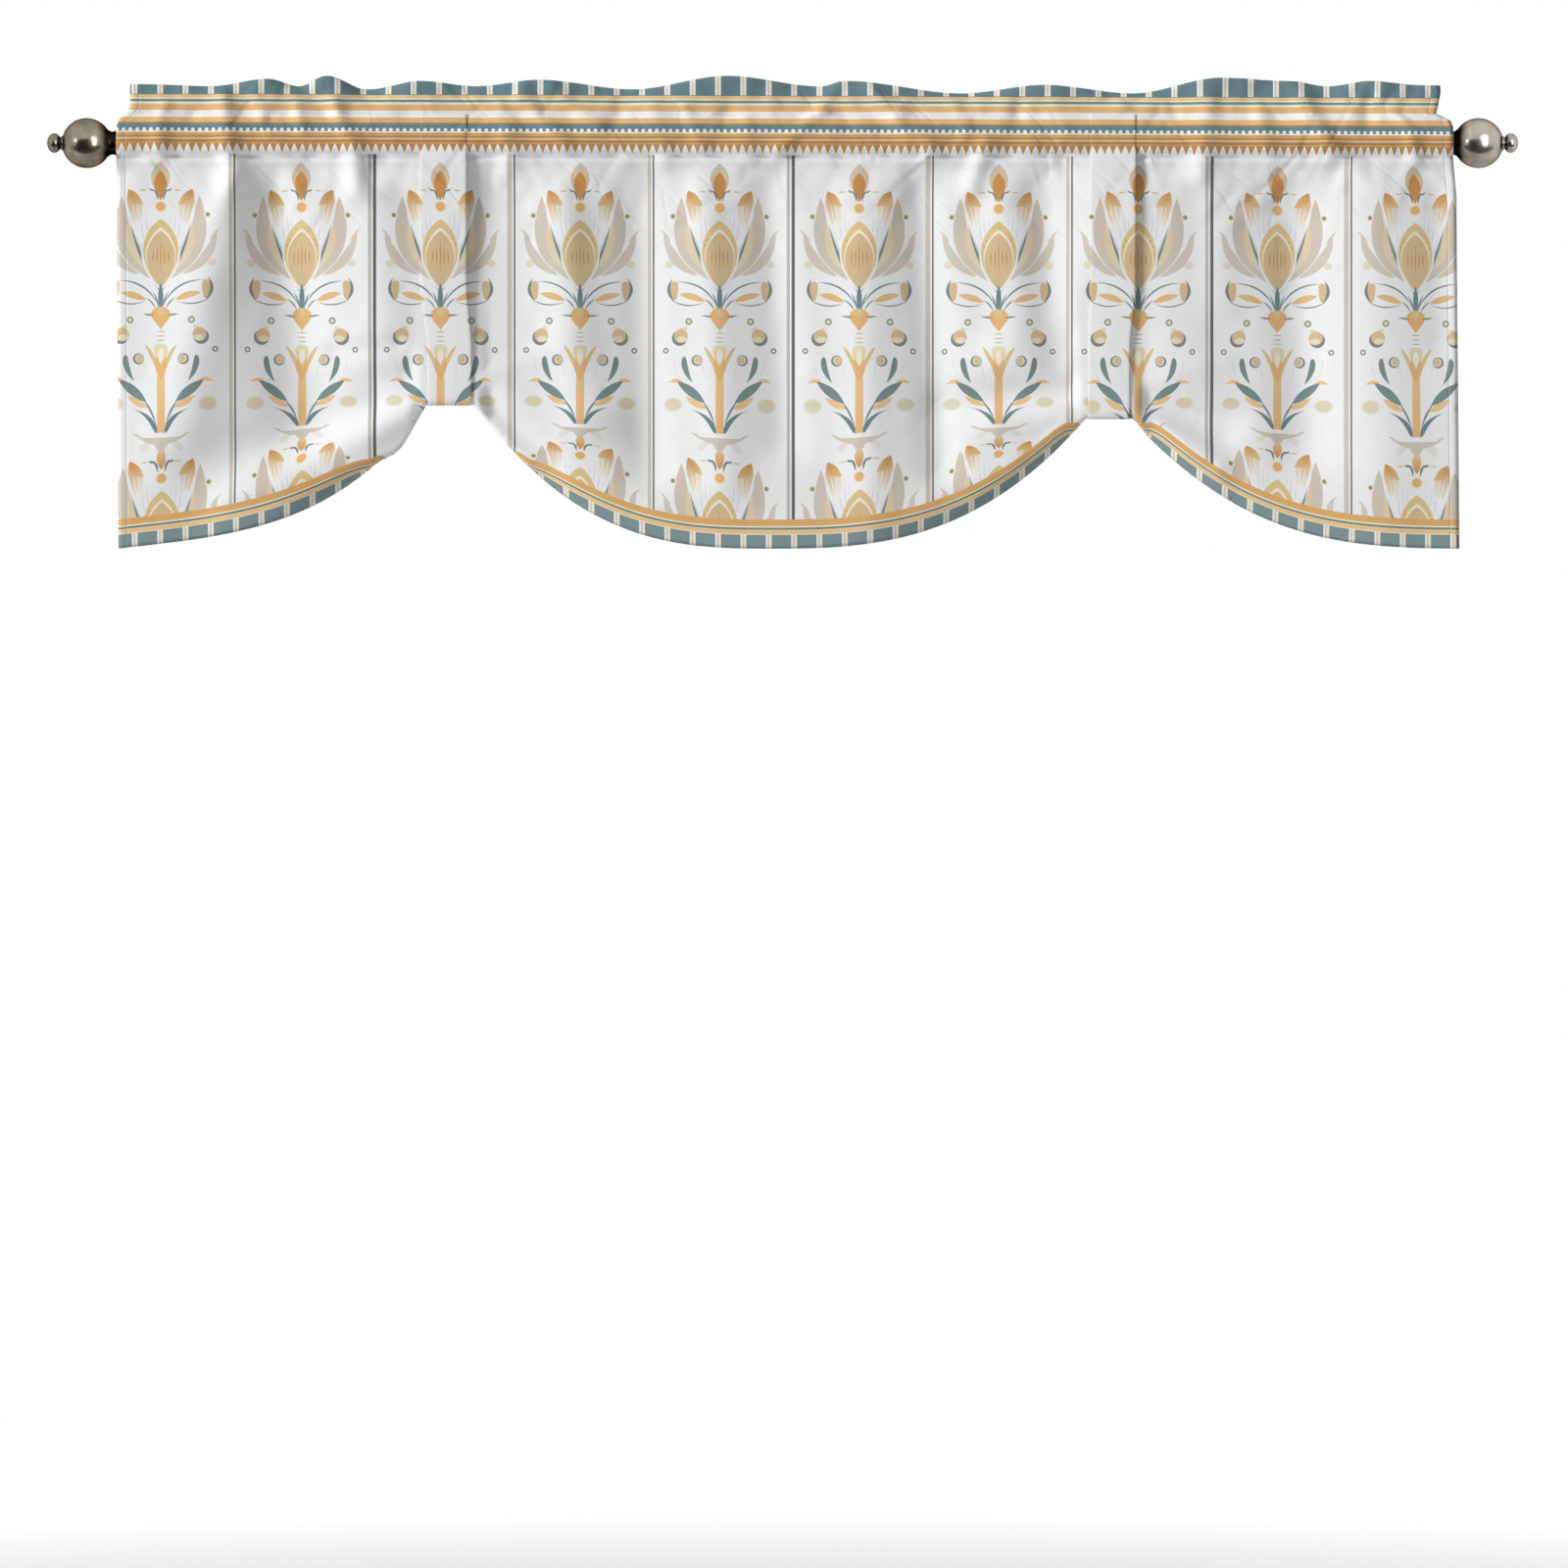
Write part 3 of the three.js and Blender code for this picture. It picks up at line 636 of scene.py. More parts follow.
# %% [markdown]
# ## The weave
# Ready-made valances are printed polyester, a smooth plain weave. Close up, each thread is a small
# bump, and threads differ a little in thickness, so the white isn't quite even. Two sine waves at
# right angles give the weave, and stretched noise gives the slubs. The group puts out a height for
# the bump and a tone to multiply the colour by, and the cloth, the ties and their reverse share
# it.

# %% Make the weave
THREAD_PITCH = 0.55 * MM
SLUB_STRETCHES = ((60, 900, 1), (900, 60, 1))
SLUB_TONES = (0.965, 1)
CREASES = [dict(stretch=(13, 8, 1), slant=0.55), dict(stretch=(26, 17, 1), slant=-0.7)]
CREASE_WIDTH = 0.13
weave, given, result = new_group(
    "plain_weave", {"Across": "Float", "Drop": "Float"}, {"Height": "Float", "Tone": "Float"}
)
warp = maths(weave, "SINE", maths(weave, "MULTIPLY", given["Across"], math.tau / THREAD_PITCH))
weft = maths(weave, "SINE", maths(weave, "MULTIPLY", given["Drop"], math.tau / THREAD_PITCH))
height = maths(weave, "MULTIPLY_ADD", maths(weave, "MULTIPLY", warp, weft), 0.5, 0.5)
thread_place = node(weave, "CombineXYZ", {0: given["Across"], 1: given["Drop"]}).outputs[0]
slub_tones = []
for stretch in SLUB_STRETCHES:
    stretched = vector_maths(weave, "MULTIPLY", thread_place, stretch)
    slub = node(weave, "TexNoise", {"Vector": stretched, "Scale": 1, "Detail": 1})
    slub_tones.append(slub.outputs[0])
slubs = maths(weave, "MULTIPLY", maths(weave, "ADD", *slub_tones), 0.5)
tone = scaled(weave, slubs, 0.3, 0.7, *SLUB_TONES)
connect(weave, height, result.inputs["Height"])
connect(weave, tone, result.inputs["Tone"])

crease_lines, given, result = new_group(
    "crease_lines", {"Across": "Float", "Drop": "Float"}, {"Depth": "Float"}
)
depths = []
for row in CREASES:
    slanted = maths(crease_lines, "MULTIPLY_ADD", given["Drop"], row["slant"], given["Across"])
    line_place = node(crease_lines, "CombineXYZ", {0: slanted, 1: given["Drop"]}).outputs[0]
    stretched = vector_maths(crease_lines, "MULTIPLY", line_place, row["stretch"])
    settings = {"Vector": stretched, "Scale": 1, "Detail": 0.6, "Distortion": 0.9}
    off = apart(crease_lines, node(crease_lines, "TexNoise", settings).outputs[0], 0.5)
    depths.append(scaled(crease_lines, off, 0, CREASE_WIDTH, 1, 0, smooth=True))
both = maths(crease_lines, "MULTIPLY_ADD", depths[1], 0.5, depths[0])
connect(crease_lines, both, result.inputs["Depth"])
print("weave pitch", THREAD_PITCH / MM, "mm")

# %% [markdown]
# ## Cloth materials
# The printed face and the reverse are two materials on one sheet. Ink hardly goes through the
# cloth, so the reverse is white with a faint ghost of the print. A little sheen gives polyester
# its soft edge light. The stitched lines pull the cloth in, so each one is a shallow groove, drawn
# as bump. The lines lie at known places: the heading, the pocket, the hem.

# %% Make the cloth's face and reverse
HEADING_STITCH_DROP = -30 * MM
POCKET_STITCH_DROP = 25 * MM
HEM_STITCH_HEIGHT = 19 * MM
GROOVE_WIDTH = 1.6 * MM
SIDE_STITCH = 9 * MM
GROOVE_DEPTH = 0.35
POCKET_GROOVE = 0.25
THREAD_RISE = 0.035
CREASE_DEPTH = 0.8
CREASE_LEAST = 0.18 * CREASE_DEPTH
CREASE_FADE = (0.03, 0.12)
GHOST = 0.16


def sheet_places(tree):
    """Across, drop, hem distance and side distance from the sheet's two UV maps."""
    print_uv = node(tree, "UVMap", uv_map="print").outputs[0]
    edge_uv = node(tree, "UVMap", uv_map="edges").outputs[0]
    flat = node(tree, "SeparateXYZ", {0: print_uv}).outputs
    edge = node(tree, "SeparateXYZ", {0: edge_uv}).outputs
    return flat[0], flat[1], edge[0], edge[1]


def seam_groove(tree, distance, centre):
    """Depth of the groove along a row of stitches, 1 at the stitches and 0 beside them."""
    return scaled(tree, apart(tree, distance, centre), 0, GROOVE_WIDTH, 1, 0, smooth=True)


def make_cloth(name, ghost):
    """The printed face, or with a ghost below 1 the reverse that the print shows through."""
    material, tree, shader = new_material(
        name, Roughness=0.78, Specular_IOR_Level=0.28, Sheen_Weight=0.12, Sheen_Roughness=0.4
    )
    across, drop, hem, side = sheet_places(tree)
    printed = group_node(tree, valance_print, {"Across": across, "Drop": drop, "Hem": hem})["Color"]
    if ghost < 1:
        printed = blend_colour(tree, ghost, ink("white"), printed)
    threads = group_node(tree, weave, {"Across": across, "Drop": drop})
    toned = vector_maths(tree, "MULTIPLY", printed, threads["Tone"])
    connect(tree, toned, shader.inputs["Base Color"])
    grooves = maths(tree, "MULTIPLY", seam_groove(tree, drop, POCKET_STITCH_DROP), POCKET_GROOVE)
    seams = ((drop, HEADING_STITCH_DROP), (hem, HEM_STITCH_HEIGHT), (side, SIDE_STITCH))
    for distance, centre in seams:
        grooves = maths(tree, "MAXIMUM", grooves, seam_groove(tree, distance, centre))
    height = maths(tree, "MULTIPLY", threads["Height"], THREAD_RISE)
    height = maths(tree, "MULTIPLY_ADD", grooves, -GROOVE_DEPTH, height)
    near_rod = scaled(tree, drop, *CREASE_FADE, CREASE_DEPTH, CREASE_LEAST)
    creases = group_node(tree, crease_lines, {"Across": across, "Drop": drop})["Depth"]
    height = maths(tree, "MULTIPLY_ADD", maths(tree, "MULTIPLY", creases, near_rod), -1, height)
    bump = node(tree, "Bump", {"Height": height, "Distance": MM})
    tree.links.new(bump.outputs[0], shader.inputs["Normal"])
    return material


cloth_face = make_cloth("printed_cloth_face", 1)
cloth_reverse = make_cloth("printed_cloth_reverse", GHOST)
print("cloth materials:", cloth_face.name, cloth_reverse.name)

# %% [markdown]
# ## Drape of the valance
# The sheet hangs from the rod pocket in three swags. Its lower edge rises to each tie and rolls
# back as it rises, so that under a tie the hem lies folded behind. A cloth simulation could hang
# it, but it wouldn't put these folds where this valance has them. So the drape is a formula: a few
# tables hold the outline and the folds, each fold a soft ridge or trough between two points, and
# the sheet's rows run from the turned-up hem up the front, over the heading and down the back.

# %% Tables of the drape, in millimetres
SHEET_THICKNESS = 0.5
SIDES = dict(
    z=(-414, -54, -14, 16, 24, 29, 36, 52, 70),
    left=(-678, -679.5, -679.5, -679.5, -677, -672, -666, -666, -665.5),
    right=(690, 687, 683, 683, 680, 666, 668, 671, 670),
)
HEADING = dict(
    x=(-666, -585, -525, -494, -465, -425, -369, -313, -249, -153, -57, 39, 63, 183, 267, 357, 447,
       520, 555, 603, 672),
    top=(60, 58, 65, 58, 68, 55, 63, 58, 64, 55, 68, 58, 63, 51, 59, 51, 66, 63, 58, 63, 59),
    lean=(1, 4, -5, 5, -7, 7, -3, 4, -5, 6, -6, 5, -3, 8, -3, 7, -7, 1, 5, -4, 3),
)
HEM_Z = -413.7
STITCH_Z = 30
POCKET_Z = -25
SWAG_COLUMNS = ("low", "tie", "bottom", "straight", "power", "curl", "curl_power", "full")
SWAG_ROWS = [
    (-679.5, -364, -267.5, 0.24, 3.6, 0.1, 6, 0.93), (-14, -315, -267.5, 0, 2.75, 0.25, 7, 0.93),
    (-14, 309, -281.5, 0, 2.8, 0.3, 30, 1), (690, 357, -281.5, 0.02, 2.85, 0.3, 30, 1),
]
SWAGS = [dict(zip(SWAG_COLUMNS, row)) for row in SWAG_ROWS]
SAG = dict(x=-391, width=17, drop=11)
TIES = [
    dict(name="tie_left", left=-370, right=-323, left_low=-362.5, right_low=-318, bottom=-267.5),
    dict(name="tie_right", left=313, right=359, left_low=311, right_low=353, bottom=-281.5),
]
TAIL_HANGING, TAIL_TIED, TAIL_GROWS_FROM = 34, 70, 0.6 * math.pi
TURN_HANGING, TURN_TIED = 26, 16
GRIP_FORWARD, GRIP_MARGIN, GRIP_FADE = 4.4, 5, 16
GRIP_DROPS, FOLD_DROPS = (120, 230), (8, 56)
POCKET_BEND, POCKET_APEX, POCKET_FOOT = 14.7, 31.2, 26.2
FOLDS = [
    (-590, -60, -610, -150, 40, 40, 4), (-556, -19, -607, -284, 19, 38, 7),
    (-600, -150, -628, -330, 30, 38, 5), (-528, -24, -487, -260, 19, 44, -8.5),
    (-500, -130, -490, -300, 34, 42, -5), (-414, -50, -404, -190, 34, 34, 7),
    (-222, -74, -203, -284, 26, 25, 6.5), (-146, -30, -137, -330, 24, 24, -7.5),
    (-80, -24, -60, -344, 25, 25, 6.5), (-17, -16, 2, -300, 20, 22, -6),
    (80, -24, 88, -354, 28, 27, 6.5), (140, -30, 160, -330, 22, 22, -8),
    (226, -24, 240, -200, 26, 26, 5.5), (262, -36, 280, -224, 18, 20, -3),
    (304, -40, 302, -170, 26, 26, 3), (-238, -40, -228, -200, 36, 34, 4),
    (392, -40, 400, -234, 34, 40, 5), (440, -24, 448, -160, 20, 20, 3),
    (519, -24, 533, -304, 28, 34, -9), (606, -24, 613, -354, 34, 42, 6),
    (668, -30, 676, -200, 16, 18, -3),
    (-343, -30, -342, -90, 28, 28, 8.5), (-342, -130, -341, -165, 28, 28, 6),
    (335, -30, 334, -90, 32, 32, 8.5), (334, -130, 333, -165, 32, 32, 5.5),
    (-455, -212, -395, -206, 10, 9, -3), (-420, -262, -598, -334, 16, 32, -5),
    (-374, -271, -560, -374, 14, 28, 8), (-303, -262, -239, -332, 14, 16, -5),
    (-307, -246, -179, -284, 14, 26, 4), (296, -252, 166, -266, 15, 18, -5),
    (290, -277, 221, -285, 14, 20, 5), (292, -226, 221, -220, 18, 24, 4),
    (372, -262, 451, -294, 15, 20, -6), (378, -290, 441, -328, 14, 16, 5),
]
FOLD_COLUMNS = ("x0", "z0", "x1", "z1", "w0", "w1", "rise")
print(len(FOLDS), "folds:", FOLD_COLUMNS)


# %% Functions of the drape
def ease(value, low, high):
    """0 below low, 1 above high and smooth between them."""
    share = np.clip((value - low) / (high - low), 0, 1)
    return share * share * (3 - 2 * share)


def mix(a, b, share):
    """Part of the way from a to b."""
    return a + (b - a) * share


def soft_table(table, place, column):
    """Reads a column between its two nearest rows, with a level start and end at each row."""
    xs, ys = np.array(table["x"]), np.array(table[column])
    after = np.clip(np.searchsorted(xs, place), 1, len(xs) - 1)
    share = ease(place, xs[after - 1], xs[after])
    return mix(ys[after - 1], ys[after], share)


def ridges(rows, x, z):
    """Sum of the folds at a place: soft ridges and troughs along straight lines."""
    total = np.zeros(np.broadcast(x, z).shape)
    for x0, z0, x1, z1, w0, w1, rise in rows:
        dx, dz = x1 - x0, z1 - z0
        share = np.clip(((x - x0) * dx + (z - z0) * dz) / (dx * dx + dz * dz), 0, 1)
        away = np.hypot(x - x0 - share * dx, z - z0 - share * dz)
        total += rise * np.exp(-((away / mix(w0, w1, share)) ** 2))
    return total


def near_tie(x, margin, fade):
    """1 under a tie, 0 away from both."""
    shares = []
    for tie in TIES:
        outside = np.maximum(np.maximum(tie["left_low"] - x, x - tie["right_low"]), 0)
        shares.append(1 - ease(outside, margin, margin + fade))
    return np.maximum(*shares)


def panel_rise(x, z):
    """How far the panel stands forward of the rod's axis."""
    folds = ridges(FOLDS, x, z) * ease(-z, *FOLD_DROPS)
    hung = folds + ridges(WRINKLES, x, z) + front_profile(z)
    grip = near_tie(x, GRIP_MARGIN, GRIP_FADE) * ease(-z, *GRIP_DROPS)
    return mix(hung, GRIP_FORWARD, grip)


def lower_edge(x):
    """Height of the lowest line at each station, and how far its hem has rolled back."""
    height = np.where(x < 0, TIES[0]["bottom"], TIES[1]["bottom"]).astype(float)
    curl = np.full(x.shape, math.pi)
    for row in SWAGS:
        way = (x - row["low"]) / (row["tie"] - row["low"])
        within = (way >= 0) & (way <= 1)
        t = np.clip(way, 0, 1)
        climb = row["straight"] * t + (1 - row["straight"]) * t ** row["power"]
        u = np.minimum(t / row["full"], 1)
        roll = row["curl"] * u + (1 - row["curl"]) * u ** row["curl_power"]
        droop = SAG["drop"] * np.exp(-(((x - SAG["x"]) / SAG["width"]) ** 2)) * (t < 1)
        height = np.where(within, mix(HEM_Z, row["bottom"], climb) - droop, height)
        curl = np.where(within, math.pi * roll, curl)
    return height, curl


def tail_point(run, curl, turn):
    """Place and angle on the hem's tail at a run below where it starts to turn."""
    c = np.maximum(curl, 1e-4)
    bent = np.minimum(run, turn)
    beyond = run - bent
    angle = c * bent / turn
    y = turn / c * (1 - np.cos(angle)) + beyond * np.sin(angle)
    z = -turn / c * np.sin(angle) - beyond * np.cos(angle)
    return y, z, angle


def pocket_half(z, least):
    """Half the depth of the pocket: a circle round the rod between two tangent planes."""
    apex = np.where(z > 0, POCKET_APEX, POCKET_FOOT)
    round_part = np.sqrt(np.maximum(POCKET_BEND**2 - z**2, 0))
    straight_part = (apex - np.abs(z)) * POCKET_BEND / np.sqrt(apex**2 - POCKET_BEND**2)
    on_rod = np.abs(z) < POCKET_BEND**2 / apex
    return np.maximum(np.where(on_rod, round_part, straight_part), least)


def front_profile(z, seam=3.5, slope=0.5, lip=0.4, fade=(20, 75), soft=3):
    """How far the front layer stands forward below the rod: it slants back to the pocket's lower
    seam, a soft crease, and then falls to the panel's own plane."""
    round_part = np.sqrt(np.maximum(POCKET_BEND**2 - np.minimum(-z, POCKET_BEND) ** 2, 0))
    slant = seam + slope * (z - POCKET_Z)
    upper = np.where(-z < POCKET_BEND, np.minimum(round_part, slant + lip), slant)
    lower = seam * (1 - ease(-z, *fade))
    return (upper + lower + np.sqrt((upper - lower) ** 2 + soft**2)) / 2


# %% [markdown]
# Smaller wrinkles lie on top of the main folds: short gathers across the rod pocket, where the
# cloth was pushed along the rod, creases that fan out from the ties, and a faint unevenness all
# over, which takes the last machine-like evenness away. They are rows of the same kind of table.

# %% Table of the wrinkles
WRINKLES = [
    (-640, 38, -632, -8, 7.5, 9, 4.2), (-604, 30, -592, 2, 7.5, 6.5, -2.9),
    (-572, 46, -562, -40, 10, 12, 6.6), (-538, 50, -526, 10, 6.5, 6.5, 4.2),
    (-524, 22, -546, -14, 6.5, 7.5, -3.7), (-500, 52, -490, 14, 7.5, 6.5, 5.6),
    (-478, 44, -466, 30, 6.5, 7.5, -4.2), (-458, 42, -448, 12, 6.5, 7.5, 5),
    (-440, 6, -434, -48, 10, 13.5, 6.6), (-404, 44, -396, 6, 9, 9, 1.6),
    (-286, 36, -280, -26, 9, 12, 2.6), (-268, 46, -222, -2, 7.5, 9, 5.3),
    (-236, 56, -188, 18, 6.5, 7.5, 4.5), (-166, 40, -172, -6, 7.5, 8.5, -2.9),
    (-132, 36, -120, -22, 9, 10, 2.6), (-101, 36, -82, -6, 5, 6, 3.8),
    (-58, 30, -66, -2, 6, 6.5, -2.6), (-38, 24, -34, -14, 7.5, 8.5, 3.4),
    (40, 34, -4, -8, 6.5, 6.5, 5.3), (60, 44, 68, 4, 7.5, 7.5, -2.6),
    (88, 56, 150, -8, 8.5, 12, 6.6), (128, 22, 139, -8, 6, 7, -3.2),
    (206, 2, 194, -46, 8.5, 11, 5.9), (176, 40, 188, 8, 7.5, 6.5, 3),
    (242, 40, 232, -6, 8.5, 9, -3), (276, 46, 288, 6, 9, 9, 1.9),
    (400, 44, 392, 2, 9, 10, -1.6), (436, 44, 426, -32, 11, 12.5, 5),
    (484, 40, 494, -4, 7.5, 8.5, 2.9), (526, 50, 558, -10, 9, 12, 5.6),
    (548, 8, 590, -28, 7.5, 9, 3.7), (604, 44, 598, 10, 7.5, 7.5, -2.6),
    (640, 24, 650, -18, 7.5, 9, 3.8),
    (-390, -226, -470, -206, 7, 12, 1.2), (-388, -240, -520, -252, 6, 11, -1.4),
    (-296, -236, -226, -206, 7, 12, 1.3), (-298, -252, -200, -262, 6, 10, -1.3),
    (290, -240, 214, -206, 7, 12, 1.4), (288, -262, 190, -246, 6, 10, -1.3),
    (376, -244, 450, -220, 7, 12, 1.3), (380, -276, 470, -276, 6, 10, -1.3),
    (-558, -30, -590, -96, 9, 16, 1.4), (-520, -30, -500, -100, 8, 15, -1.3),
    (-226, -30, -216, -88, 9, 14, 1.2), (-100, -30, -106, -84, 10, 15, -1.2),
    (120, -30, 96, -92, 9, 15, 1.4), (208, -30, 188, -86, 9, 14, -1.2),
    (470, -30, 458, -90, 9, 15, 1.2), (560, -30, 548, -86, 9, 14, -1.2),
]
CRUMPLES = [
    dict(rise=2.3, across=42, down=85, slant=0.35, seed=1),
    dict(rise=1.5, across=19, down=48, slant=-0.4, seed=7),
    dict(rise=0.8, across=10, down=26, slant=0.5, seed=13),
]
CRUMPLE_SPAN, FAINT_CRUMPLE = (-95, -15), 0.16


def crumple(x, z):
    """Noise in place of the many small creases: strong at the rod, faint further down."""
    x, z = np.broadcast_arrays(x, z)
    total = np.zeros(x.shape)
    for row in CRUMPLES:
        across, down = (x + row["slant"] * z) / row["across"], z / row["down"]
        places = zip(across.ravel(), down.ravel())
        values = [noise.noise(Vector((*place, row["seed"]))) for place in places]
        total += row["rise"] * np.array(values).reshape(x.shape)
    return total * mix(FAINT_CRUMPLE, 1, ease(z, *CRUMPLE_SPAN))


print(len(WRINKLES), "wrinkles and", len(CRUMPLES), "scales of crumple")

# %% [markdown]
# ## Rows and stations of the sheet
# The sheet is a grid of rows and stations. A station is a line up the flat cloth, and each row
# crosses all of them: the hem's turned-up edge, the roll of the hem, the panel, the front of the
# pocket, the heading, its top, and the same down the back to the pocket's lower seam. The side
# hems are the same cloth folded back, so the stations beyond each side are mirrored inwards and
# set one layer behind. Layers that lie on each other stand further apart than the cloth is thick,
# because otherwise they would pass through each other where they bend.

# %% Work out the rows of the sheet
HEM_ALLOWANCE = 20
SIDE_ALLOWANCE = 11
LAYER_GAP = 1.2
FLAP_GAP = 0.7
FLAP_SHARES = (1, 0.75, 0.5, 0.25, 0.04)
SIDE_HALF = 1.6 * FLAP_GAP
SIDE_GAP = 3 * FLAP_GAP
SEAM_GAP = 1.3 * SHEET_THICKNESS
HEADING_HALF = 0.45
HEADING_SWELL, HEADING_SWELLS_TO = 0.8, 0.35
BACK_SET, BACK_SET_DROPS = 3, (12, 26)
ALLOWANCE_ROWS = 5
TAIL_ROWS = 16
PANEL_ROWS = 56
POCKET_ROWS = 15
HEADING_ROWS = 8
TOP_ANGLES = (-0.25 * math.pi, -0.5 * math.pi, -0.75 * math.pi)
BACK_HEADING_ROWS = 6
BACK_POCKET_ROWS = 11
PRINT_SKEW = 0.0031
ROD_CLEARANCE = 13.7
SIDE_PULL = 130
LIFT = dict(x=(0, 60, 117, 145, 165, 258, 300), lift=(40, 38, 29, 24.5, 17, 4, 0))
LIFT_FROM, LIFT_SPAN = 234, 84
SIDE_FADE = (SIDE_ALLOWANCE + 2, SIDE_ALLOWANCE + 12)
TRIAL_RUNS = 25
TAIL_SPACING, PANEL_SPACING, LEAN_POWER = 0.8, 0.9, 1.5
BACK_POCKET_Z = POCKET_Z - 1


def print_lift(x, z):
    """How far the flat cloth's print has been drawn up at a place beside the ties."""
    centres = [(tie["left_low"] + tie["right_low"]) / 2 for tie in TIES]
    away = np.minimum(*[np.abs(x - centre) for centre in centres])
    low = np.clip((-z - LIFT_FROM) / LIFT_SPAN, 0, 1)
    return np.interp(away, LIFT["x"], LIFT["lift"]) * low**2


def side_share(x):
    """1 where a side hem doubles the cloth, 0 away from both sides."""
    inward = np.minimum(x - SIDES["left"][0], SIDES["right"][0] - x)
    return 1 - ease(inward, *SIDE_FADE)


def sheet_rows(x):
    """Rows of the sheet for an array of stations: y, z, angle, drop and hem distance of each."""
    edge_z, curl = lower_edge(x)
    least_half = mix(HEADING_HALF, SIDE_HALF, side_share(x))
    hem_gap = mix(LAYER_GAP, SIDE_GAP, side_share(x))
    turn = mix(TURN_HANGING, TURN_TIED, ease(curl, 0, math.pi))
    tail = mix(TAIL_HANGING, TAIL_TIED, ease(curl, TAIL_GROWS_FROM, math.pi))
    runs = np.linspace(0, 1, TRIAL_RUNS)[:, None] * tail
    _, depths, angles = tail_point(runs, curl, turn)
    turn_z = edge_z - (depths - SHEET_THICKNESS * np.sin(angles)).min(axis=0)
    turn_y = -panel_rise(x, turn_z)
    rows = []

    def add(y, z, angle, drop, hem):
        rows.append([np.broadcast_to(v, x.shape) for v in (y, z, angle, drop, hem)])

    def add_tail(hem, behind=None):
        run = tail - hem
        y, z, angle = tail_point(run, curl, turn)
        y, z, drop = turn_y + y, turn_z + z, -turn_z + run + print_lift(x, turn_z)
        if behind is None:
            add(y, z, angle, drop, hem)
        else:
            add(y + behind * np.cos(angle), z + behind * np.sin(angle), angle + math.pi, drop, -hem)

    for share in np.linspace(1, FLAP_SHARES[-1], ALLOWANCE_ROWS):
        add_tail(HEM_ALLOWANCE * share * np.ones_like(x), hem_gap)
    for share in np.linspace(0, 1, TAIL_ROWS) ** TAIL_SPACING:
        add_tail(tail * share)
    for share in np.linspace(0, 1, PANEL_ROWS + 1)[1:]:
        z = mix(turn_z, POCKET_Z, share**PANEL_SPACING)
        add(-panel_rise(x, z), z, 0, -z + print_lift(x, z), tail + z - turn_z)
    for z in np.linspace(POCKET_Z, STITCH_Z, POCKET_ROWS + 1)[1:]:
        level = np.full(x.shape, z)
        pocket_front = -pocket_half(level, least_half) - ridges(WRINKLES, x, z)
        add(-panel_rise(x, level) if z < 0 else pocket_front, z, 0, -z, tail + z - turn_z)
    top, lean = soft_table(HEADING, x, "top"), soft_table(HEADING, x, "lean")

    def add_heading(up, angle):
        swell = HEADING_SWELL * ease(up, 0, HEADING_SWELLS_TO)
        half = np.maximum(least_half, HEADING_HALF + swell)
        z = mix(STITCH_Z, top - half, up) - half * math.sin(angle)
        y = lean * up**LEAN_POWER - ridges(WRINKLES, x, z) - half * math.cos(angle)
        past = 2 * (z - top) if angle < -0.5 * math.pi else 0
        add(y, z, angle, -z + past, tail + z - turn_z)

    for up in np.linspace(0, 1, HEADING_ROWS + 1)[1:]:
        add_heading(up, 0)
    for angle in TOP_ANGLES:
        add_heading(1, angle)
    for up in np.linspace(1, 0, BACK_HEADING_ROWS):
        add_heading(up, -math.pi)
    for z in np.linspace(STITCH_Z, BACK_POCKET_Z, BACK_POCKET_ROWS + 1)[1:]:
        y = pocket_half(np.full(x.shape, z), least_half) - BACK_SET * ease(-z, *BACK_SET_DROPS)
        add(y, z, -math.pi, z - 2 * top, tail + STITCH_Z - turn_z)
    return np.array(rows)


front_rows = ALLOWANCE_ROWS + TAIL_ROWS + PANEL_ROWS + POCKET_ROWS + HEADING_ROWS
back_rows = len(TOP_ANGLES) + BACK_HEADING_ROWS + BACK_POCKET_ROWS
print("rows a column:", front_rows, "in front and", back_rows, "over the top and behind")

# %% [markdown]
# An operator makes the grid flat, and then each vertex goes to its place in the drape. The same
# arrays give the two UV maps: where a place lies on the flat cloth, and how far it is from the
# hem and the side. So the print, the weave and the stitches all know where they are.

# %% Make the sheet
COLUMN_SPANS = [
    (-440, 56), (-364, 26), (-315, 14), (-230, 30), (230, 94), (309, 28), (357, 14), (430, 25),
    (690, 56),
]
STRAP_MARGIN, STRAP_FADE, STRAP_TOP = 9, 14, 28
PRINT_BEND_FROM = 16
AT_EDGE = 1


def stations():
    """Stations along the flat cloth, closer together at the ties, with the side hems beyond."""
    left, right = SIDES["left"][0], SIDES["right"][0]
    x = [left]
    for end, steps in COLUMN_SPANS:
        x.extend(np.linspace(x[-1], end, steps + 1)[1:])
    turned = np.array(FLAP_SHARES) * SIDE_ALLOWANCE
    return np.concatenate([left - turned, x, right + turned[::-1]])


def place_sheet(bm, columns, rows, points, print_uv, edge_uv):
    """Moves each vertex of a flat grid to its place, and writes its two UV maps."""
    step_x, step_y = 1 / (columns - 1), 1 / (rows - 1)
    index = {}
    for vert in bm.verts:
        index[vert] = (round((vert.co.x + 0.5) / step_x), round((vert.co.y + 0.5) / step_y))
    for vert, (i, j) in index.items():
        vert.co = points[j][i]
    for name, values in (("print", print_uv), ("edges", edge_uv)):
        layer = bm.loops.layers.uv.new(name)
        for face in bm.faces:
            for loop in face.loops:
                i, j = index[loop.vert]
                loop[layer].uv = values[j][i]


station = stations()
left, right = SIDES["left"][0], SIDES["right"][0]
beyond = station - np.clip(station, left, right)
inside = station - 2 * beyond
rows = sheet_rows(inside)
y, z, angle, drop, hem = (rows[:, k, :] for k in range(5))
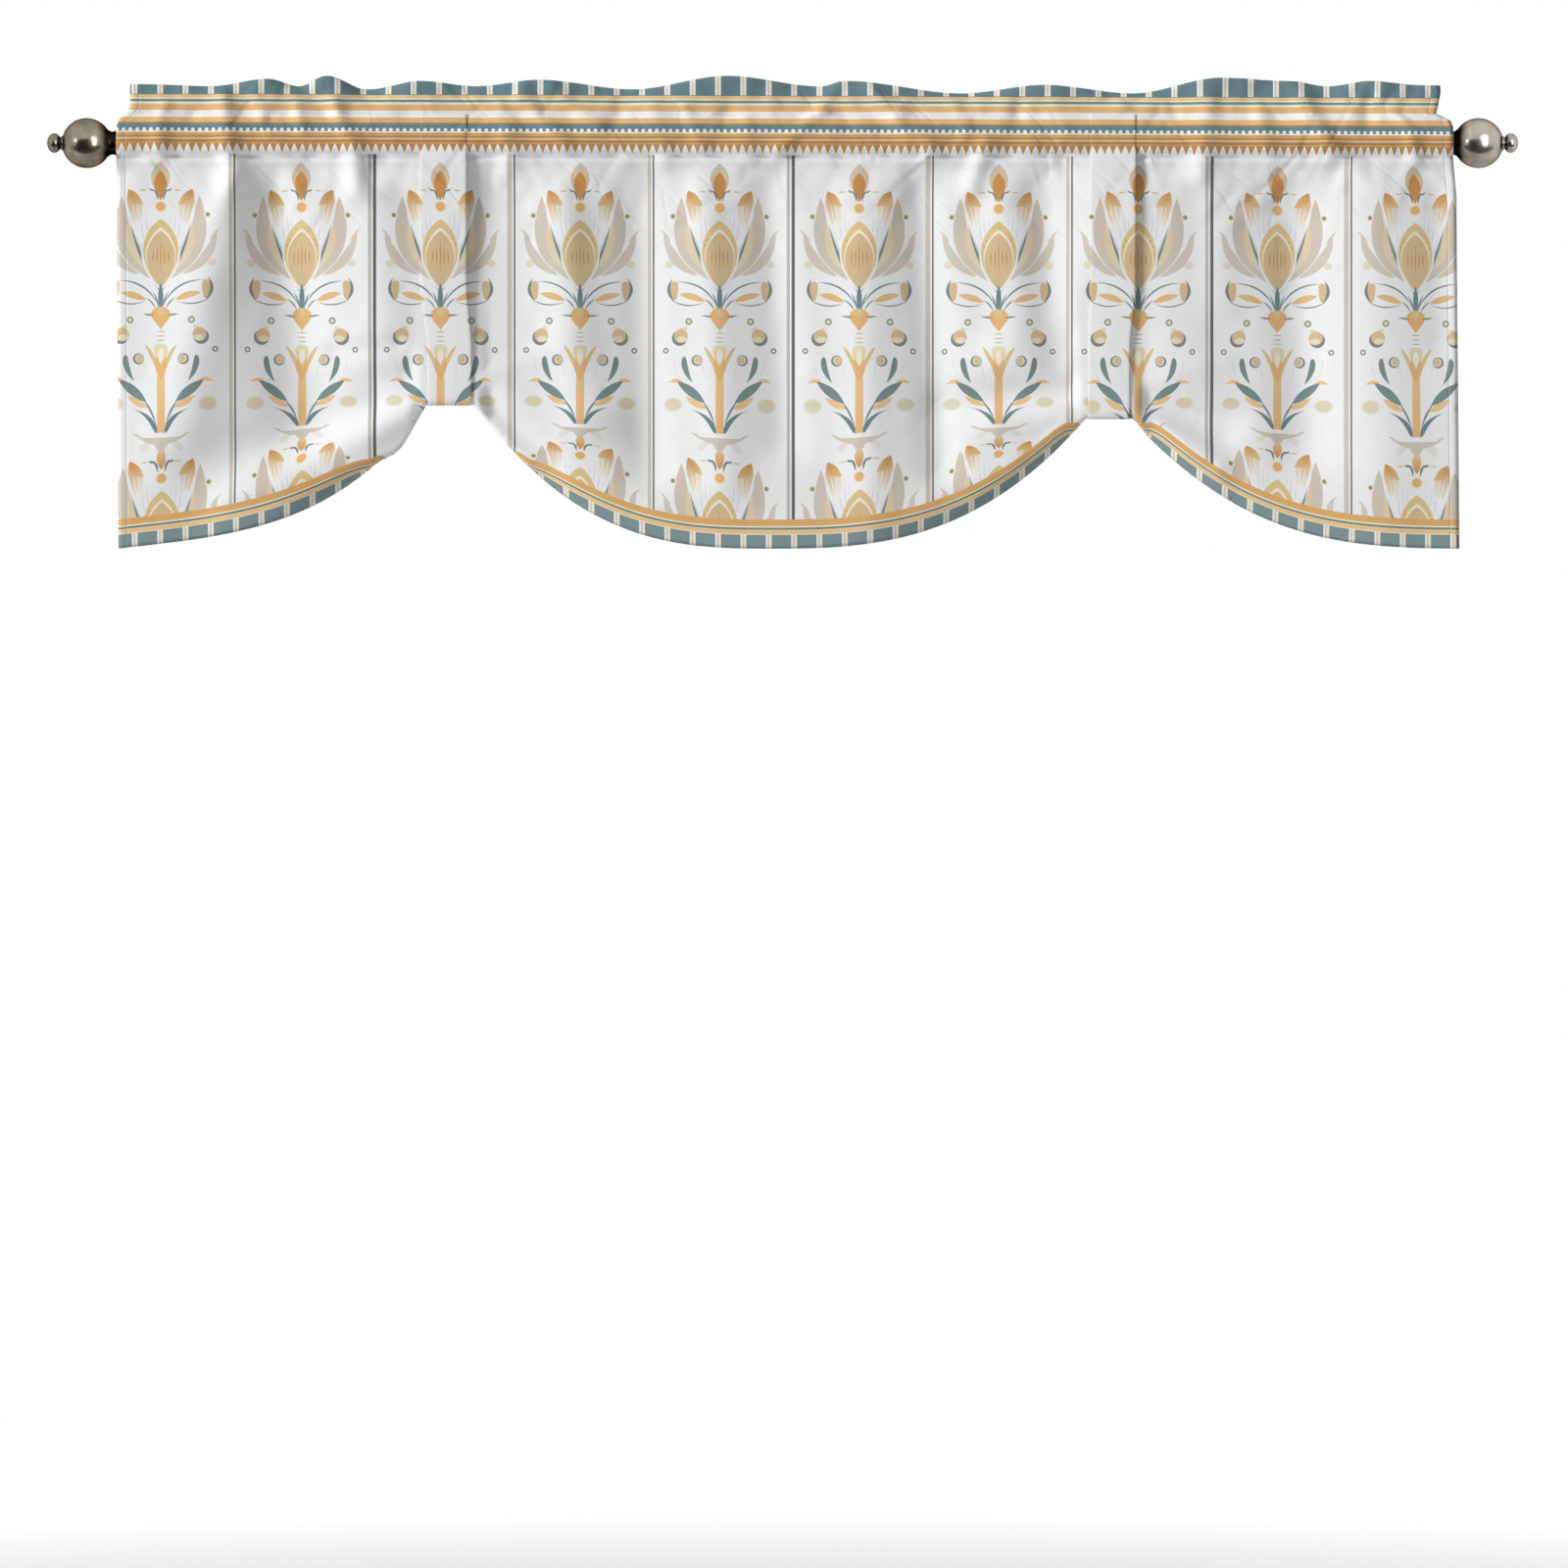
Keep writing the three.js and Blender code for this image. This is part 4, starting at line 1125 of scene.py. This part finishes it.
# The cloth is drawn in a little near the rod, so each place moves with the side that it is near.
near_left = 1 - ease(inside, left, left + SIDE_PULL)
near_right = ease(inside, right - SIDE_PULL, right)
x = inside + (np.interp(z, SIDES["z"], SIDES["left"]) - left) * near_left
x = x + (np.interp(z, SIDES["z"], SIDES["right"]) - right) * near_right
layer = np.arange(len(y))[:, None]
back = layer >= len(y) - BACK_POCKET_ROWS - BACK_HEADING_ROWS
# Small creases stop at the straps, and the pocket's back layer stays behind its front one.
loose = 1 - near_tie(inside, STRAP_MARGIN, STRAP_FADE) * (z < STRAP_TOP)
small = crumple(inside, z) * loose
y = y - small * (layer < len(y) - BACK_POCKET_ROWS)
behind_pocket = slice(-BACK_POCKET_ROWS, None)
front_y = -panel_rise(inside, z[behind_pocket]) - small[behind_pocket]
sewn_gap = mix(SEAM_GAP, SIDE_GAP, side_share(inside))
y[behind_pocket] = np.maximum(y[behind_pocket], front_y + sewn_gap)
side = np.minimum(inside - left, right - inside)
# In front, no crease is so deep that it cuts into the rod.
room = ROD_CLEARANCE + LAYER_GAP * (side < SIDE_FADE[0])
over_rod = np.sqrt(np.maximum(room**2 - z**2, 0))
y = np.where((over_rod > 0) & ~back, np.minimum(y, -over_rod), y)
# A side hem lies one gap behind the cloth that it is folded from.
behind = np.where(beyond != 0, FLAP_GAP, 0)
y = y + behind * np.cos(angle)
z = z + behind * np.sin(angle) + behind * (np.abs(hem) < AT_EDGE)
points = np.stack([x, y, z], axis=-1) * MM
# The print runs a little out of square, and at the heading's ends it moves in with the cloth.
skewed = drop - PRINT_SKEW * (station - left)
bent = station + (x - inside) * ease(z, PRINT_BEND_FROM, STITCH_Z)
print_uv = np.stack([bent, skewed], axis=-1) * MM
edge_uv = np.stack([hem, np.broadcast_to(side, y.shape)], axis=-1) * MM
bm = bmesh.new()
bmesh.ops.create_grid(bm, x_segments=len(station) - 1, y_segments=len(y) - 1, size=0.5)
place_sheet(bm, len(station), len(y), points.tolist(), print_uv.tolist(), edge_uv.tolist())
valance = finished_piece("valance_cloth", bm, [cloth_face, cloth_reverse])
print("valance:", len(valance.data.polygons), "faces in", len(y), "rows of", len(station))

# %% [markdown]
# A single sheet has no edge, and its front and back would be one surface. Solidify gives it the
# thickness of cloth, half to each side, and puts the reverse in the second material.

# %% Give the sheet its thickness
def thicken(piece, thickness, reverse_slot=0):
    """Solidify, centred on the sheet, with the reverse in its own material."""
    solid = piece.modifiers.new("thickness", "SOLIDIFY")
    solid.thickness = thickness
    solid.offset = 0
    solid.material_offset = reverse_slot
    solid.use_rim = True


thicken(valance, SHEET_THICKNESS * MM, reverse_slot=1)
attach(valance, "root")
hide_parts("valance")

# %% [markdown]
# ## Stitches
# Five rows of stitches hold the valance together: across the heading, along the pocket's lower
# edge, along the hem and down both side hems. The first two go through to the back, where they
# show again. A stitch is a grain of thread, longer than it is thick and half sunk in the cloth.
# Each row reads its line from the sheet's own arrays, so that it follows every fold.

# %% Sew the stitches
STITCH_PITCH, STITCH_LENGTH, THREAD_RADIUS = 3.0, 2.3, 0.2
FLAPS = len(FLAP_SHARES)
SEWN_COLUMN = FLAPS + 2
thread_paint, tree, shader = new_material(
    "sewing_thread", Base_Color=(0.86, 0.85, 0.82, 1), Roughness=0.6, Sheen_Weight=0.2
)


def sew(bm, line, outward):
    """One row of stitches along a line of places, on the side that the outward direction shows."""
    line = line + outward * SHEET_THICKNESS / 2
    run = np.concatenate([[0], np.cumsum(np.linalg.norm(np.diff(line, axis=0), axis=1))])
    starts = np.arange(1, run[-1] - STITCH_PITCH, STITCH_PITCH)
    ends = [
        np.stack([np.interp(starts + past, run, line[:, k]) for k in range(3)], axis=-1)
        for past in (0, STITCH_LENGTH)
    ]
    for a, b in zip(*ends):
        a, b = Vector(a.tolist()), Vector(b.tolist())
        turn = (b - a).to_track_quat("X", "Z")
        size = ((b - a).length / 2, THREAD_RADIUS, THREAD_RADIUS)
        place = Matrix.LocRotScale((a + b) / 2 * MM, turn, size)
        bmesh.ops.create_icosphere(bm, subdivisions=1, radius=MM, matrix=place)


def outwards(turned):
    """The directions that the sheet faces, for its angles in section."""
    return np.stack([0 * turned, -np.cos(turned), -np.sin(turned)], axis=-1)


pocket_row = ALLOWANCE_ROWS + TAIL_ROWS + PANEL_ROWS - 1
heading_row = pocket_row + POCKET_ROWS
bm = bmesh.new()
for index in (pocket_row, heading_row, -BACK_POCKET_ROWS - 1, -1):
    sew(bm, points[index, FLAPS:-FLAPS] / MM, outwards(angle[index, FLAPS:-FLAPS]))
up_front = slice(ALLOWANCE_ROWS, heading_row)
hem_line = np.stack([
    [
        np.interp(HEM_STITCH_HEIGHT / MM, hem[up_front, column], values[up_front, column])
        for values in (x, y, z, angle)
    ]
    for column in range(FLAPS, len(station) - FLAPS)
])
sew(bm, hem_line[:, :3], outwards(hem_line[:, 3]))
for column in (SEWN_COLUMN, -SEWN_COLUMN - 1):
    sew(bm, points[up_front, column] / MM, outwards(angle[up_front, column]))
stitches = finished_piece("stitches", bm, [thread_paint])
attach(stitches, "root")
print("stitches:", len(stitches.data.polygons), "faces")

# %% [markdown]
# ## Ties
# Each tie is a strap of the same cloth, sewn into the heading's stitching at the front and the
# back. It runs down over the pocket, under the gathered cloth and up again behind. Its pattern
# matches the panel's, because both read the same flat place. A strip of grid follows the strap's
# outline in section: an arc over the pocket, a straight leg, and a half turn under the cloth.

# %% Make the ties
TIE_THICKNESS = 0.5
TIE_LIFT = 0.25
TIE_CLEARANCE = 0.1
TIE_COLUMNS, TIE_ROWS = 14, 170
ARC_STEPS, TURN_POINTS = 12, 16
TIE_SEWN_Y = 2.6
TIE_CROWN, CROWN_DROPS = 0.5, (10, 60)
TIE_EDGE_RADIUS = 0.2
AWAY_FROM_HEM, AWAY_FROM_SIDE = 400.0, 30
TIE_TAPER = (-140, -215)
POCKET_RADIUS = 15.0
FOLD_RADIUS = TURN_TIED / math.pi + 1.5


def strap_path(tie):
    """Middle line of a strap in section, front to back, as an even row of points."""
    top_radius = POCKET_RADIUS + TIE_CLEARANCE + TIE_LIFT
    turn_radius = FOLD_RADIUS + TIE_CLEARANCE + TIE_LIFT
    turn_y = TURN_TIED / math.pi - GRIP_FORWARD
    turn_z = tie["bottom"] + FOLD_RADIUS
    sewn_y, sewn_z = TIE_SEWN_Y + TIE_LIFT, STITCH_Z
    leaving = math.atan2(sewn_z, sewn_y) - math.acos(top_radius / math.hypot(sewn_y, sewn_z))
    legs, slopes = [], []
    for side in (-1, 1):
        reach = top_radius - turn_radius - side * turn_y
        slope = -math.asin(reach / math.hypot(turn_y, turn_z))
        arc = [mix(leaving, slope, step / ARC_STEPS) for step in range(ARC_STEPS + 1)]
        round_pocket = [(side * top_radius * math.cos(a), top_radius * math.sin(a)) for a in arc]
        legs.append([(side * sewn_y, sewn_z), *round_pocket])
        slopes.append(slope)
    under = np.linspace(math.pi - slopes[0], 2 * math.pi + slopes[1], TURN_POINTS)
    turn = [(turn_y + turn_radius * math.cos(a), turn_z + turn_radius * math.sin(a)) for a in under]
    line = np.array([*legs[0], *turn, *legs[1][::-1]])
    along = np.concatenate([[0], np.cumsum(np.hypot(*np.diff(line, axis=0).T))])
    even = np.linspace(0, along[-1], TIE_ROWS)
    return np.interp(even, along, line[:, 0]), np.interp(even, along, line[:, 1]), along[-1]


def make_strap(tie, left_end=SIDES["left"][0]):
    """One strap, matched to the panel's print."""
    y, z, length = strap_path(tie)
    across = np.linspace(0, 1, TIE_COLUMNS + 1)
    taper = ease(-z, -TIE_TAPER[0], -TIE_TAPER[1])[:, None]
    left = mix(tie["left"], tie["left_low"], taper)
    right = mix(tie["right"], tie["right_low"], taper)
    x = mix(left, right, across)
    crown = TIE_CROWN * np.sin(math.pi * across) * ease(-z, *CROWN_DROPS)[:, None]
    outward = np.where(np.arange(len(y)) < len(y) / 2, -1, 1)[:, None]
    deep = y[:, None] + outward * crown
    points = np.stack([x, deep, np.broadcast_to(z[:, None], x.shape)], axis=-1) * MM
    flat = np.stack([x, -z[:, None] - PRINT_SKEW * (x - left_end)], axis=-1) * MM
    far = np.full(x.shape, AWAY_FROM_HEM)
    from_side = np.minimum(across, 1 - across) * (tie["right"] - tie["left"]) * np.ones_like(x)
    edge = np.stack([far, from_side + AWAY_FROM_SIDE], axis=-1) * MM
    bm = bmesh.new()
    bmesh.ops.create_grid(bm, x_segments=TIE_COLUMNS, y_segments=len(y) - 1, size=0.5)
    place_sheet(bm, TIE_COLUMNS + 1, len(y), points.tolist(), flat.tolist(), edge.tolist())
    bmesh.ops.recalc_face_normals(bm, faces=bm.faces)
    strap = finished_piece(tie["name"] + "_strap", bm, [cloth_face])
    thicken(strap, TIE_THICKNESS * MM)
    round_edge = strap.modifiers.new("round_edge", "BEVEL")
    round_edge.width = TIE_EDGE_RADIUS * MM
    round_edge.segments = 2
    round_edge.limit_method = "ANGLE"
    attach(strap, "root")
    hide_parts(tie["name"])
    return strap, length


straps = [make_strap(tie) for tie in TIES]
for strap, length in straps:
    print(strap.name, "is", round(length), "mm long")

# %% [markdown]
# ## Rod and finials
# The finials are turned: a collar against the rod's end, a ball, and a small knob on a neck. So
# each is a half outline spun about the rod's axis. The rod keeps its CAD mesh. Both wear antique
# pewter, a grey metal rubbed bright in patches. The finials' collar and neck are painted near
# black, partly the dark patina of those grooves and partly painted shade. The left finial is
# painted darker and the right one lighter, as painted shade and painted light on one pewter.

# %% Make the pewter
# Near black for the collar and neck: partly the patina in those grooves, partly painted shade.
GROOVE_PATINA_AND_SHADE = (40, 34, 28)
COLLAR_SPAN = (0.689, 0.699)
NECK_PLACE, NECK_HALF = 0.7376, 0.0028
PATCH_SCALE, SCRATCH_SCALE, SCRATCH_DEPTH = 70, 900, 0.03 * MM


def make_pewter(name, light, dark, grooves=1.0):
    """Antique pewter, patchy between a rubbed bright tone and a darker one. The collar and neck are
    painted near black, partly patina and partly painted shade.
    """
    material, tree, shader = new_material(name, Metallic=1.0)
    shader.inputs["Specular Tint"].default_value = (0.2, 0.19, 0.17, 1)
    place = node(tree, "TexCoord").outputs["Object"]
    patches, scratches = [
        node(tree, "TexNoise", {"Vector": place, "Scale": scale, "Detail": detail}).outputs[0]
        for scale, detail in ((PATCH_SCALE, 4), (SCRATCH_SCALE, 2))
    ]
    rubbed = scaled(tree, patches, 0.3, 0.6)
    colour = blend_colour(tree, rubbed, (*linear(dark), 1), (*linear(light), 1))
    out = maths(tree, "ABSOLUTE", node(tree, "SeparateXYZ", {0: place}).outputs[0])
    # The collar and the neck are painted near black, partly patina and partly painted shade.
    collar = scaled(tree, out, *COLLAR_SPAN, 1, 0)
    neck = scaled(tree, apart(tree, out, NECK_PLACE), 0, NECK_HALF, 1, 0)
    patina_and_shade = maths(tree, "MULTIPLY", maths(tree, "MAXIMUM", collar, neck), grooves)
    colour = blend_colour(tree, patina_and_shade, colour, (*linear(GROOVE_PATINA_AND_SHADE), 1))
    connect(tree, colour, shader.inputs["Base Color"])
    connect(tree, scaled(tree, patches, 0.3, 0.7, 0.3, 0.2), shader.inputs["Roughness"])
    bump = node(tree, "Bump", {"Height": scratches, "Distance": SCRATCH_DEPTH, "Strength": 0.3})
    tree.links.new(bump.outputs[0], shader.inputs["Normal"])
    return material


# Both finials are one pewter. The left one is painted darker as painted shade, and the right one
# lighter as painted light.
pewter_left_painted_shade = make_pewter("pewter_painted_darker", (156, 148, 130), (122, 115, 98))
pewter_right_painted_light = make_pewter("pewter_painted_lighter", (190, 182, 172), (160, 152, 142))
pewter_rod = make_pewter("pewter_rod", (120, 114, 104), (70, 66, 58), grooves=0)
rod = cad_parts["rod"]
rod.data.materials.clear()
rod.data.materials.append(pewter_rod)

# %% Turn the finials
BALL_RADIUS, BALL_FROM_ROD = 25.5, 30.2
COLLAR_LENGTH, COLLAR_RADIUS, COLLAR_WAIST = 7.4, 12.8, 11.7
KNOB_RADIUS, KNOB_HALF, KNOB_FROM_ROD = 10, 7.4, 63.2
COLLAR_EDGE, COLLAR_ROUND, LIP_LENGTH, LIP_RISE = 0.5, 0.6, 0.4, 0.3
COLLAR_STEPS, BALL_STEPS, KNOB_STEPS = 8, 28, 14
# How wide the ball's outline starts and ends, as shares of its radius, and the knob's first angle.
BALL_START, BALL_END, KNOB_START = 0.56, 0.27, math.pi - 0.62
NECK = [(55.2, 7.4), (56.0, 7.3), (56.4, 6.3), (57.2, 5.9)]
FINIAL_TURNS = 72


def finial_outline():
    """Half outline from the rod outwards, as (distance from the rod's end, radius)."""
    points = [(0, 0), (0, COLLAR_RADIUS - COLLAR_ROUND), (COLLAR_EDGE, COLLAR_RADIUS)]
    for step in range(1, COLLAR_STEPS):
        share = step / COLLAR_STEPS
        waist = mix(COLLAR_RADIUS, COLLAR_WAIST, math.sin(math.pi * share))
        points.append((mix(COLLAR_EDGE, COLLAR_LENGTH - LIP_LENGTH, share), waist))
    points.append((COLLAR_LENGTH, COLLAR_RADIUS + LIP_RISE))
    start, end = math.pi - math.asin(BALL_START), math.asin(BALL_END)
    for step in range(BALL_STEPS + 1):
        a = mix(start, end, step / BALL_STEPS)
        points.append((BALL_FROM_ROD + BALL_RADIUS * math.cos(a), BALL_RADIUS * math.sin(a)))
    points.extend(NECK)
    for step in range(1, KNOB_STEPS + 1):
        a = mix(KNOB_START, 0, step / KNOB_STEPS)
        points.append((KNOB_FROM_ROD + KNOB_HALF * math.cos(a), max(KNOB_RADIUS * math.sin(a), 0)))
    return points


def make_finial(node_name, direction, material):
    """Spins the outline about the rod's axis, outwards from the rod's end."""
    low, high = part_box(node_name)
    end = low.x if direction > 0 else high.x
    bm = bmesh.new()
    verts = [
        bm.verts.new((end + direction * along * MM, 0, radius * MM))
        for along, radius in finial_outline()
    ]
    edges = [bm.edges.new(pair) for pair in zip(verts, verts[1:])]
    bmesh.ops.spin(
        bm, geom=[*verts, *edges], cent=(0, 0, 0), axis=(1, 0, 0), angle=math.tau,
        steps=FINIAL_TURNS, use_merge=True,
    )
    bmesh.ops.remove_doubles(bm, verts=bm.verts, dist=1e-6)
    bmesh.ops.recalc_face_normals(bm, faces=bm.faces)
    finial = finished_piece(node_name + "_turned", bm, [material])
    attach(finial, "root")
    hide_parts(node_name)
    return finial


finials = [
    make_finial("finial_left", -1, pewter_left_painted_shade), make_finial("finial_right", 1, pewter_right_painted_light)
]
print("finials:", [len(f.data.polygons) for f in finials], "faces")
